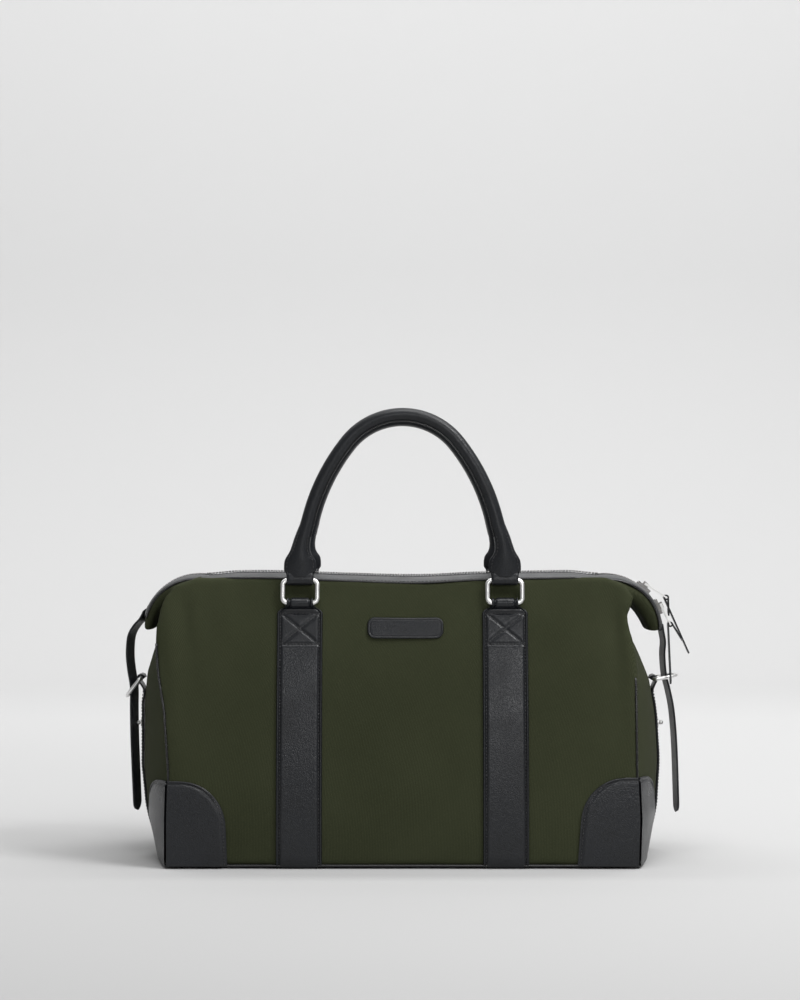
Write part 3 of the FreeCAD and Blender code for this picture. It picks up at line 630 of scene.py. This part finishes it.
def add_skin():
    """The fabric of the whole bag as one cloth, cut under the bands into pieces: the middle goes with the
    bag, and the two end pieces have their placement baked.
    """
    lofts = [closed_loft([body_section(z) for z in np.linspace(3, MOUTH_Z, 60)])]
    for side in SIDES:
        lofts.append(closed_loft([wing_section(side, angle) for angle in np.linspace(100, 1, 26)]))
    points, normals, faces = fused_surface(lofts, CLOTH_GRID, CLOTH_ROUNDS)
    points = settled(points + normals * cloth_relief(points)[:, None])
    pieces = {"left": [], "middle": [], "right": []}
    for face in faces:
        x, y, z = points[list(face)].mean(axis=0)
        if abs(y) < 58 and abs(x) < 206 and z > 270:
            continue
        pieces["middle" if abs(x) < BAND_X else "left" if x < 0 else "right"].append(face)
    for part, chosen in pieces.items():
        used = np.unique(np.concatenate(chosen))
        renumber = np.zeros(len(points), int)
        renumber[used] = np.arange(len(used))
        own_faces = [tuple(renumber[list(face)]) for face in chosen]
        cloth = place(part + "_skin", points[used], own_faces, "fabric")
        cloth.data.materials.append(LOOKS["lining"][0])
        thick = cloth.modifiers.new("cloth", "SOLIDIFY")
        thick.thickness = CLOTH_THICK * MM
        thick.offset = -1.0
        thick.material_offset = 1
        thick.use_rim = False
        if part == "middle":
            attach(cloth, "bag")
            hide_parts("front_panel", "back_panel")
        else:
            bend_with_wing(cloth)
            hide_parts(part + "_gusset", part + "_mouth_end", part + "_wing_shell")


# ------------------------ piping and leather trim

def seam_line(side, face):
    """Line of a corded seam, from the base up to where the end panel folds in."""
    heights = np.linspace(3, SEAM_TOP[side], 24)
    points = [(SIGN[side] * (row_at(side, z, 1) - 0.5), face * (front_y(z) + 0.4), z) for z in heights]
    return settled(points)


def add_piping():
    """Corded seams: up both ends of the front and back, round the base, and along the mouth."""
    for name, face in FACES.items():
        for side in SIDES:
            label = name + "_" + side + "_seam_cord"
            seam = tube(label, seam_line(side, face), CORD_RADIUS, "edge", "bag")
            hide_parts(name + "_piping")
        rim = [(x, -face * (MOUTH_Y - 1.0 - mouth_taper(x)), MOUTH_Z - 0.5 - end_drop(x))
               for x in np.linspace(-206, 206, 60)]
        tube(name + "_mouth_cord", settled(rim), CORD_RADIUS, "edge", "bag")
    section = body_section(3.2)
    tube("base_cord", section + section[:1], CORD_RADIUS, "edge", "bag")


def band_line(side):
    """Inner face of a band: from behind the front ring, over it, down, under the bag and up the back."""
    low_y, low_z = RING_LOW
    loop = []
    for angle in (205, 160, 115, 75, 35, 0, -28):
        turn = math.radians(angle)
        loop.append((low_y - LOOP_RADIUS * math.cos(turn), low_z + LOOP_RADIUS * math.sin(turn), BAND_NECK))
    drop = [(front_y(z, 0.6), z, half) for z, half in ((260, 16.5), (257.6, 20.8), (255, BAND_HALF))]
    drop += [(front_y(z, 0.6), z, BAND_HALF) for z in (244, 220, 190, 160, 130, 100, 70, 40, 20, 9)]
    turn_under = [(y, z, BAND_HALF) for y, z in ((-109.0, 4.0), (-104.5, 2.3), (-90.0, 2.1), (0.0, 2.1))]
    half = loop + drop + turn_under
    full = half + [(-y, z, width) for y, z, width in half[-2::-1]]
    return [(SIGN[side] * BAND_X, y, z, width) for y, z, width in full]


def box_stitching(side, face):
    """Crossed box of stitches at the top of a band, as lines with their normals."""
    x = SIGN[side] * BAND_X
    rails = []
    for low, high in ((BOX_LOW, BOX_LOW), (BOX_HIGH, BOX_HIGH), (BOX_LOW, BOX_HIGH), (BOX_HIGH, BOX_LOW)):
        spots = zip(np.linspace(-BOX_HALF, BOX_HALF, 12), np.linspace(low, high, 12))
        line = np.array([(x + across, face * front_y(z, 1.8), z) for across, z in spots])
        rails.append((line, np.tile([0.0, -face, 0.0], (12, 1))))
    return rails


def band_relief(base, border):
    """Share of a band's thickness: grooves under its stitches, and a soft swell between them."""
    x, z = abs(base[..., 0]) - BAND_X, base[..., 2]
    share = groove(border - 3.3, 1.0, 0.8)
    inside = (abs(x) < BOX_HALF) & (z > BOX_LOW - 2) & (z < BOX_HIGH + 2)
    tall = (BOX_HIGH - BOX_LOW) / (2 * BOX_HALF)
    middle = (BOX_HIGH + BOX_LOW) / 2
    for gap in (z - BOX_LOW, z - BOX_HIGH, (z - middle - tall * x) / 1.3, (z - middle + tall * x) / 1.3):
        share = np.where(inside, np.minimum(share, groove(gap)), share)
    return share


def add_bands():
    for side in SIDES:
        line = band_line(side)
        band = strip(side + "_band", line, X_AXIS, 2.5, "leather", "bag", carve=band_relief, columns=45,
                     step=1.4)
        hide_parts(side + "_handle_band")
        rails = [rail(line[9:-9], X_AXIS, 1.0, 3.3, 1.3, edge) for edge in (-1, 1)]
        for face in FACES.values():
            rails += box_stitching(side, face)
        stitches(side + "_band_stitches", rails, "bag")


def corner_width(up, height):
    return 57.0 + 4.0 * (1 - up / height)


def corner_border(across, up, height):
    """Distance in from the edge of a corner patch, whose inner top corner is round."""
    into = across - (corner_width(up, height) - CORNER_RADIUS)
    over = up - (height - CORNER_RADIUS)
    round_part = CORNER_RADIUS - np.hypot(np.maximum(into, 0), np.maximum(over, 0))
    return np.where((into > 0) & (over > 0), round_part, CORNER_RADIUS - np.maximum(into, over))


def corner_limit(up, height):
    over = max(up - (height - CORNER_RADIUS), 0.0)
    return corner_width(up, height) - CORNER_RADIUS + math.sqrt(max(CORNER_RADIUS ** 2 - over ** 2, 0.0))


def add_corners():
    """Leather patches over the four lower corners, on the front and on the end panel."""
    for name, face in FACES.items():
        for side in SIDES:
            sign, height = SIGN[side], CORNER_HEIGHT[side]
            ups = np.concatenate([np.linspace(3, height - 11, 24), np.linspace(height - 9, height, 10)])
            fronts, ends = [], []
            for up in ups:
                shares = np.linspace(0, 1, 26) * corner_limit(up, height)
                seam, middle, depth = row_at(side, up, 1), row_at(side, up, 2), -front_y(up)
                fronts.append([(sign * (seam - a), -face * (depth + 0.5), up) for a in shares])
                spans = [(a - depth) / depth for a in shares]
                ends.append([(sign * (seam + (middle - seam) * (1 - u * u) + 0.5), face * u * depth, up)
                             for u in spans])
            across = np.array([np.linspace(0, 1, 26) * corner_limit(up, height) for up in ups])
            border = corner_border(across, np.repeat(ups[:, None], 26, axis=1), height) + 0.15
            rails = []
            whole, all_faces = [], []
            for base, out in ((np.array(fronts), np.array([0, -face, 0.0])), (np.array(ends), sign * X_AXIS)):
                normals = np.broadcast_to(out, base.shape)
                points, faces = padded_grid(base, normals, border, 2.1 * groove(border - 2.9, 1.0, 0.8), 1.3)
                all_faces += [tuple(len(whole) + corner for corner in quad) for quad in faces]
                whole += points.tolist()
                rails.append(corner_rail(base, out))
            patch = place(name + "_" + side + "_corner_patch", whole, all_faces, "leather", "bag")
            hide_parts(name + "_" + side + "_corner")
            stitches(name + "_" + side + "_corner_stitches", rails, "bag")


def corner_rail(base, out):
    """Stitch line just inside the free edge of a corner patch."""
    edge = base[:, -1]
    inward = unit(base[:, -3] - edge)
    line = edge + inward * 2.9 + out * 1.3
    line = line[:-3]
    return line, np.broadcast_to(out, line.shape)


def add_name_patch():
    """Plain patch with a pressed line round it."""
    rows = []
    heights = PATCH_HALF_Z * np.sin(np.linspace(-math.pi / 2, math.pi / 2, 40))
    for up in heights:
        over = max(abs(up) - (PATCH_HALF_Z - PATCH_RADIUS), 0.0)
        reach = PATCH_HALF_X - PATCH_RADIUS + math.sqrt(max(PATCH_RADIUS ** 2 - over ** 2, 0.0))
        rows.append([(PATCH_X + u * reach, up) for u in np.sin(np.linspace(-math.pi / 2, math.pi / 2, 90))])
    x, z = np.moveaxis(np.array(rows), -1, 0)
    to_side, to_top = PATCH_HALF_X - abs(x - PATCH_X), PATCH_HALF_Z - abs(z)
    round_part = np.hypot(np.maximum(PATCH_RADIUS - to_side, 0), np.maximum(PATCH_RADIUS - to_top, 0))
    border = np.minimum(PATCH_RADIUS - round_part, np.minimum(to_top, to_side))
    base = np.dstack([x, np.vectorize(front_y)(PATCH_Z + z, 0.5), z + PATCH_Z])
    thick = 2.1 - 0.5 * np.exp(-((border - 2.6) / 0.5) ** 2)
    normals = np.broadcast_to([0.0, -1.0, 0.0], base.shape)
    points, faces = padded_grid(settled_grid(base), normals, border, thick, 1.2)
    patch = place("name_patch_leather", points, faces, "leather", "bag")
    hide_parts("name_patch")


def settled_grid(base):
    """A grid of points after the top of the bag has sagged."""
    return settled(base.reshape(-1, 3)).reshape(base.shape)


# ------------------------ handles

def handle_profile():
    """Middle line and half widths of a handle from its right foot to its crown: x, z, in plane, across."""
    crown_z = HANDLE_RISE - HANDLE_CROWN
    side = (HANDLE_SPAN ** 2 + crown_z ** 2 - HANDLE_CROWN ** 2) / (2 * (HANDLE_SPAN - HANDLE_CROWN))
    meet = math.atan2(crown_z, side - HANDLE_SPAN)
    line = []
    for z in np.linspace(291, 345, 44):
        rise = math.asin(np.clip((z - HANDLE_SPRING) / side, -1, 1))
        arch_x = HANDLE_SPAN - side + side * math.cos(rise)
        line.append((BAND_X + (arch_x - BAND_X) * float(ease((z - 309) / 37)), z))
    for angle in np.linspace(math.asin(48.0 / side), meet, 16):
        line.append((HANDLE_SPAN - side + side * math.cos(angle), HANDLE_SPRING + side * math.sin(angle)))
    for angle in np.linspace(meet, math.pi / 2, 24)[1:]:
        crown_x, up = HANDLE_CROWN * math.cos(angle), HANDLE_CROWN * math.sin(angle)
        line.append((crown_x, HANDLE_SPRING + crown_z + up))
    heights = [point[1] for point in line]
    wide = np.interp(heights, [291, 295, 296.5, 298.5, 304, 308, 311, 314, 318, 324, 332, 341, 350],
                     [14.0, 14.2, 15.8, 16.4, 16.3, 15.6, 14.0, 11.9, 10.1, 8.9, 8.1, 7.3, HANDLE_RADIUS])
    deep = np.interp(heights, [291, 298, 308, 318, 330, 350], [4.0, 4.6, 5.6, 6.3, 6.7, HANDLE_RADIUS])
    return np.array(line), wide, deep


def handle_rows():
    """Middle points, outward directions in the handle's plane and half widths, from right to left foot."""
    line, wide, deep = handle_profile()
    full = np.vstack([line, (line * [-1, 1])[-2::-1]])
    tangent = unit(np.gradient(full, axis=0))
    outward = np.column_stack([tangent[:, 1], -tangent[:, 0]])
    return full, outward, np.concatenate([wide, wide[-2::-1]]), np.concatenate([deep, deep[-2::-1]])


def add_handle(name, face):
    full, outward, wide, deep = handle_rows()
    y = -face * -RING_HIGH[0]
    sides, rows = 26, []
    for (x, z), (ox, oz), a, b in zip(full, outward, wide, deep):
        row = []
        for turn in np.linspace(0, 2 * math.pi, sides, endpoint=False):
            out = a * math.cos(turn)
            bulge = b * math.copysign(abs(math.sin(turn)) ** (1 + 1.1 * (1 - b / a)), math.sin(turn))
            row.append((x + ox * out, y + bulge + 1.1 * math.sin(turn) * (1 - b / a), z + oz * out))
        rows.append(row)
    grip = place(name + "_handle_leather", *closed_loft(rows), "leather", name + "_handle")
    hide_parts(name + "_handle")
    ridge = [(x - ox * (a - 0.2), y - face * 0.4 * b, z - oz * (a - 0.2)) for (x, z), (ox, oz), a, b in
             zip(full, outward, wide * 0.94, deep)]
    tube(name + "_handle_seam", ridge[34:-34], 0.9, "edge", name + "_handle")
    add_handle_loops(name, face, y)
    add_paddle_stitches(name, full, outward, wide, deep, y, face)


def add_handle_loops(name, face, y):
    """Leather loops that hold the rings' upper bars."""
    half = BAND_NECK + 0.3
    for side in SIDES:
        x = SIGN[side] * BAND_X
        points = [(x, y - face * 1.6, 297, half), (x, y - face * 1.6, 293, half)]
        for angle in (-15, -50, -90, -130, -165):
            turn = math.radians(angle)
            points.append((x, y - face * LOOP_RADIUS * math.cos(turn),
                           RING_HIGH[1] + LOOP_RADIUS * math.sin(turn), half))
        points += [(x, y + face * 1.6, 293, half), (x, y + face * 1.6, 297, half)]
        strip(name + "_" + side + "_handle_loop", points, X_AXIS, LOOP_THICK, "leather", name + "_handle",
              turn=face, edge=1.2)


def add_paddle_stitches(name, full, outward, wide, deep, y, face):
    rails = []
    rows = [row for row in range(len(full)) if 298 < full[row][1] < 336]
    for sign in (-1.0, 1.0):
        for edge in (-1.0, 1.0):
            chosen = [row for row in rows if full[row][0] * sign > 0]
            line = []
            for row in chosen:
                reach = edge * max(wide[row] - 3.0, wide[row] * 0.6)
                bend = math.sqrt(1 - (reach / wide[row]) ** 2)
                flatness = 1 - deep[row] / wide[row]
                lift = deep[row] * bend ** (1 + 1.1 * flatness) + 1.1 * bend * flatness + 0.15
                x, z = full[row] + outward[row] * reach
                line.append((x, y - face * lift, z))
            rails.append((np.array(line), np.tile([0.0, -face, 0.0], (len(line), 1))))
    stitches(name + "_handle_stitches", rails, name + "_handle", 3.6)


# ------------------------ mouth, zip and wings

def add_flaps():
    """Leather facings, zip tapes and teeth on both flaps."""
    lean = np.array([0.0, 1.0, FLAP_RISE])
    stations = np.linspace(-FLAP_HALF, FLAP_HALF, 40)
    for name, face in FACES.items():
        flap = name + "_flap"
        across = unit(lean * [1, face, 1])

        def line(y, lift, half):
            height = 289.2 + FLAP_RISE * (66 - y) + lift
            centres = settled([(x, -face * FACING_Y, height - end_drop(x)) for x in stations])
            centres[:, 1] = -face * y
            return np.column_stack([centres, np.full(len(centres), half)])

        outline = line(FACING_Y, 0.0, FACING_HALF)
        outline[:, 1] += face * mouth_taper(stations) / 2
        outline[:, 3] -= mouth_taper(stations) / 2
        facing = strip(name + "_mouth_facing", outline, across, 1.9, "facing", flap, turn=face,
                       edge=1.8, setback=lambda spread: 1.6 * spread ** 2)
        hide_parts(name + "_facing")
        tape = strip(name + "_tape", line(11.0, -1.2, 6.6), across, 0.9, "tape", flap, turn=face, edge=0.8)
        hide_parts(name + "_zip_tape")
        rails = [rail(line(FACING_Y, -1.3, FACING_HALF), across, face, inset, 1.95, -face)
                 for inset in (53.6, 3.0)]
        stitches(name + "_mouth_stitches", rails, flap, 3.8)
        offset = 0 if face > 0 else TOOTH_PITCH / 2
        places = np.arange(-FLAP_HALF + 2, FLAP_HALF - 2, TOOTH_PITCH) + offset
        spots = settled([(x, -face * FACING_Y, 295.0 - end_drop(x)) for x in places])
        spots[:, 1] = -face * 1.7
        teeth = beads(name + "_teeth", spots, Y_AXIS, Z_AXIS, (5.4, 1.6, 2.2), "zip", flap)
        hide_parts(name + "_zip_teeth")


def wing_line(side, angles, radius, y, half):
    """Points and half widths over the outside of a wing. Y and half are functions of the angle."""
    return [(*wing_point(side, angle, radius, y(angle)), half(angle)) for angle in angles]


def add_wing_trim(side):
    """Leather facings, zip tape, teeth and stop down the outside of a folded wing."""
    low, turn = ZIP_END[side], SIGN[side]
    angles = np.linspace(103, low - 7, 24)
    for face in (-1.0, 1.0):
        def middle(angle):
            return face * (0.9 * wing_half(side, angle) + 6.5) / 2

        def reach(angle):
            return (0.9 * wing_half(side, angle) - 6.5) / 2

        line = wing_line(side, angles, WING_OUTER - 0.4, middle, reach)
        label = side + ("_front" if face < 0 else "_back")
        facing = strip(label + "_wing_facing", line, Y_AXIS, 2.2, "facing", turn=turn, edge=1.6,
                       setback=lambda spread: 3.0 * np.clip((face * spread + 0.2) / 1.2, 0, 1) ** 2.2)
        bend_with_wing(facing)
        edge = [point[:3] for point in wing_line(side, angles, WING_OUTER - 2.6,
                                                 lambda angle: face * 0.91 * wing_half(side, angle), reach)]
        cord = tube(label + "_wing_cord", edge, CORD_RADIUS, "edge")
        bend_with_wing(cord)
        sewn = stitches(label + "_wing_stitches", [rail(line, Y_AXIS, turn, 3.2, 2.25, -face)], pitch=3.8)
        bend_with_wing(sewn)
    tape_line = wing_line(side, np.linspace(99, low, 24), WING_OUTER + 0.2, lambda angle: 0.0,
                          lambda angle: 12.0)
    tape = strip(side + "_wing_tape", tape_line, Y_AXIS, 1.0, "tape", turn=turn, edge=0.8)
    bend_with_wing(tape)
    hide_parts(side + "_zip_end")
    add_wing_teeth(side, low)


def add_wing_teeth(side, low):
    radius = WING_OUTER + 2.1
    spots, ups = [], []
    step = math.degrees(TOOTH_PITCH / 2 / radius)
    for index, angle in enumerate(np.arange(low + 2, 98, step)):
        spots.append(wing_point(side, angle, radius, 1.5 if index % 2 else -1.5))
        turn = math.radians(angle)
        ups.append((SIGN[side] * math.cos(turn), 0, math.sin(turn)))
    teeth = beads(side + "_wing_teeth", spots, Y_AXIS, ups, (5.0, 1.5, 2.4), "zip")
    bend_with_wing(teeth)
    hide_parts(side + "_zip_end_teeth")
    stop = beads(side + "_zip_stop", spots[:1], Y_AXIS, ups[0], (7.5, 3.2, 3.4), "zip")
    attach(stop, side + "_wing")


def add_strap(side):
    """End strap with a pressed line along its edges and holes, and the tab that holds it on the wing."""
    sign = SIGN[side]
    path = STRAP_PATH[side]
    line = [(sign * (x - 1.2), 0.0, z, 10.0) for x, z in path[:-1]]
    foot_x, foot_z = path[-1]
    for up, half in ((9, 9.8), (5, 8.6), (2, 5.6), (0, 1.5)):
        line.append((sign * (foot_x - 1.2), 0.0, foot_z + up, half))
    across = np.array([-sign * math.sin(STRAP_TWIST[side]), math.cos(STRAP_TWIST[side]), 0.0])
    ribbon = strip(side + "_end_strap", line, across, 2.4, "leather", turn=sign, edge=1.1,
                   carve=lambda base, border: groove(border - 2.2, 0.8, 0.35), columns=21)
    bend_strap(ribbon)
    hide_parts(side + "_strap")
    inner = np.array(path, float)[::-1]
    spots = [(sign * (np.interp(z, inner[:, 1], inner[:, 0]) + 1.2), 0.0, z) for z in STRAP_HOLES]
    holes = beads(side + "_strap_holes", spots, Y_AXIS, sign * X_AXIS, (4.2, 4.2, 0.7), "edge")
    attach(holes, "bag")
    low = STRAP_START[side]
    tab_line = wing_line(side, np.linspace(low + 14, low + 1.5, 8), WING_OUTER + 0.2, lambda angle: 0.0,
                         lambda angle: 11.0)
    tab = strip(side + "_tab", tab_line, Y_AXIS, 2.8, "leather", side + "_wing", turn=sign, edge=1.2)
    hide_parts(side + "_strap_tab")


def add_side_band(side):
    """Band up the middle of an end panel, whose top folds over the bar of the D-ring."""
    sign = SIGN[side]
    x, z = D_PIVOT[side]
    line = [(sign * (row_at(side, up, 2) + 0.4), 0.0, up, 12.0) for up in np.linspace(4, z - 13, 14)]
    for angle in (-40, 0, 45, 90, 135, 180, 215):
        turn = math.radians(angle)
        line.append((sign * (x + 2.4 * math.cos(turn)), 0.0, z + 2.4 * math.sin(turn), 12.0))
    band = strip(side + "_end_band", line, Y_AXIS, 2.0, "leather", "bag", turn=-sign, edge=1.3)
    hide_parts(side + "_side_band")
    rails = [rail(line[:14], Y_AXIS, -sign, 2.4, 2.05, edge) for edge in (-1, 1)]
    stitches(side + "_end_band_stitches", rails, "bag")


# ------------------------ inside and hardware

def add_lining():
    """Loose inner bag, open at the top."""
    rows = []
    for z in np.concatenate([np.linspace(9, 30, 6), np.linspace(40, 254, 40)]):
        share = (z - 9) / 245
        tuck_in = 4 * (1 - ease(share * 12))
        half_x, half_y = 228 - 14 * share - tuck_in, 102 - 33 * share - tuck_in
        row = []
        for turn in np.linspace(0, 2 * math.pi, 120, endpoint=False):
            c, s = math.cos(turn), math.sin(turn)
            x = half_x * math.copysign(abs(c) ** 0.3, c)
            y = half_y * math.copysign(abs(s) ** 0.3, s)
            tuck = 2.2 * noise.noise(Vector((x / 38, y / 38, z / 70)))
            row.append((x * (1 - 0.008 * abs(tuck)), y - math.copysign(abs(tuck), y), z))
        rows.append(row)
    points = np.array(rows).reshape(-1, 3)
    faces = grid_faces(len(rows), 120, wrap=True) + [tuple(range(120))]
    lining = place("inner_bag", points, faces, "lining", "bag")
    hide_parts("lining")


def dress_cad():
    """Materials for the CAD pieces that stay, with a small bevel where they are cut from plate."""
    looks = {"ring": "metal", "stud": "metal", "slider": "slider", "puller": "metal", "pull": "leather",
             "core": "tape", "board": "board", "base_panel": "leather"}
    for name, thing in frame["nodes"].items():
        for ending, look in looks.items():
            if not name.endswith(ending):
                continue
            thing.data.materials.clear()
            thing.data.materials.append(LOOKS[look][0])
            if ending in ("slider", "puller", "pull"):
                bevel = thing.modifiers.new("bevel", "BEVEL")
                bevel.width = 0.3 * MM
                bevel.segments = 2
                bevel.limit_method = "ANGLE"


# ------------------------ stage

def backdrop_material():
    material, tree, shader = start_material("paper")
    # Albedo rises from the front of the floor to the wall: the front of the floor is painted darker, as
    # painted shade, and the wall lighter, as painted light, with faint random tone over them
    depth = add_node(tree, "SeparateXYZ", {"Vector": object_place(tree, (1.0, 0.25, 1.0))}).outputs["Y"]
    painted_shade_and_tone = combined(tree, depth, ramp(tree, cloudy(tree, 0.9, 2.0), (0.3, grey(0.49)), (0.7, grey(0.51))))
    tree.links.new(ramp(tree, painted_shade_and_tone, (0.3, grey(0.47)), (0.9, grey(0.68))), shader.inputs["Base Color"])
    shader.inputs["Roughness"].default_value = 0.95
    relief(tree, shader, cloudy(tree, 900.0), 0.0001, 0.2)
    return material


def add_backdrop():
    """Floor that sweeps up into a wall."""
    bend_y, bend = 2.3, 0.9
    profile = [(-8.0, 0.0), (bend_y, 0.0)]
    for turn in np.linspace(0, math.pi / 2, 16)[1:]:
        profile.append((bend_y + bend * math.sin(turn), bend - bend * math.cos(turn)))
    profile.append((bend_y + bend, 5.0))
    points = [(x, y, z) for y, z in profile for x in (-8.0, 8.0)]
    mesh = bpy.data.meshes.new("backdrop")
    mesh.from_pydata(points, [], grid_faces(len(profile), 2))
    mesh.polygons.foreach_set("use_smooth", [True] * len(mesh.polygons))
    mesh.materials.append(backdrop_material())
    sweep = bpy.data.objects.new("backdrop", mesh)
    bpy.context.scene.collection.objects.link(sweep)


def add_light(name, place_at, aim, size, power):
    lamp = bpy.data.lights.new(name, "AREA")
    lamp.shape = "RECTANGLE"
    lamp.size, lamp.size_y = size
    lamp.energy = power
    thing = bpy.data.objects.new(name, lamp)
    thing.location = place_at
    thing.rotation_euler = (Vector(aim) - Vector(place_at)).to_track_quat("-Z", "Y").to_euler()
    bpy.context.scene.collection.objects.link(thing)


def add_studio():
    add_backdrop()
    add_light("key", (1.5, -1.1, 2.2), (0.0, 0.0, 0.25), (0.8, 0.8), 38.0)
    add_light("top", (0.2, -0.4, 1.95), (0.0, -0.05, 0.2), (1.4, 0.8), 17.0)
    add_light("front", (0.5, -3.3, 1.12), (0.0, 0.0, 0.18), (0.9, 0.5), 17.0)
    add_light("wall", (0.1, 1.1, 3.4), (0.1, 3.2, 0.9), (7.0, 0.8), 111.0)
    world = bpy.data.worlds.new("studio")
    world.use_nodes = True
    world.node_tree.nodes["Background"].inputs["Color"].default_value = (1.0, 1.0, 1.0, 1.0)
    world.node_tree.nodes["Background"].inputs["Strength"].default_value = 0.3
    scene = bpy.context.scene
    scene.world = world
    scene.view_settings.view_transform = "Standard"
    lens = bpy.data.cameras.new("camera")
    lens.lens = 90.0
    lens.sensor_width = 36.0
    camera = bpy.data.objects.new("camera", lens)
    camera.location = (-0.0025, -2.61, 0.369)
    camera.rotation_euler = (math.pi / 2, 0.0, 0.0)
    scene.collection.objects.link(camera)
    scene.camera = camera


# ------------------------ build

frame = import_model()
LOOKS = make_looks()
add_skin()
add_piping()
add_bands()
add_corners()
add_name_patch()
for handle_name, handle_face in FACES.items():
    add_handle(handle_name, handle_face)
add_flaps()
for end in SIDES:
    add_wing_trim(end)
    add_strap(end)
    add_side_band(end)
add_lining()
dress_cad()
add_studio()
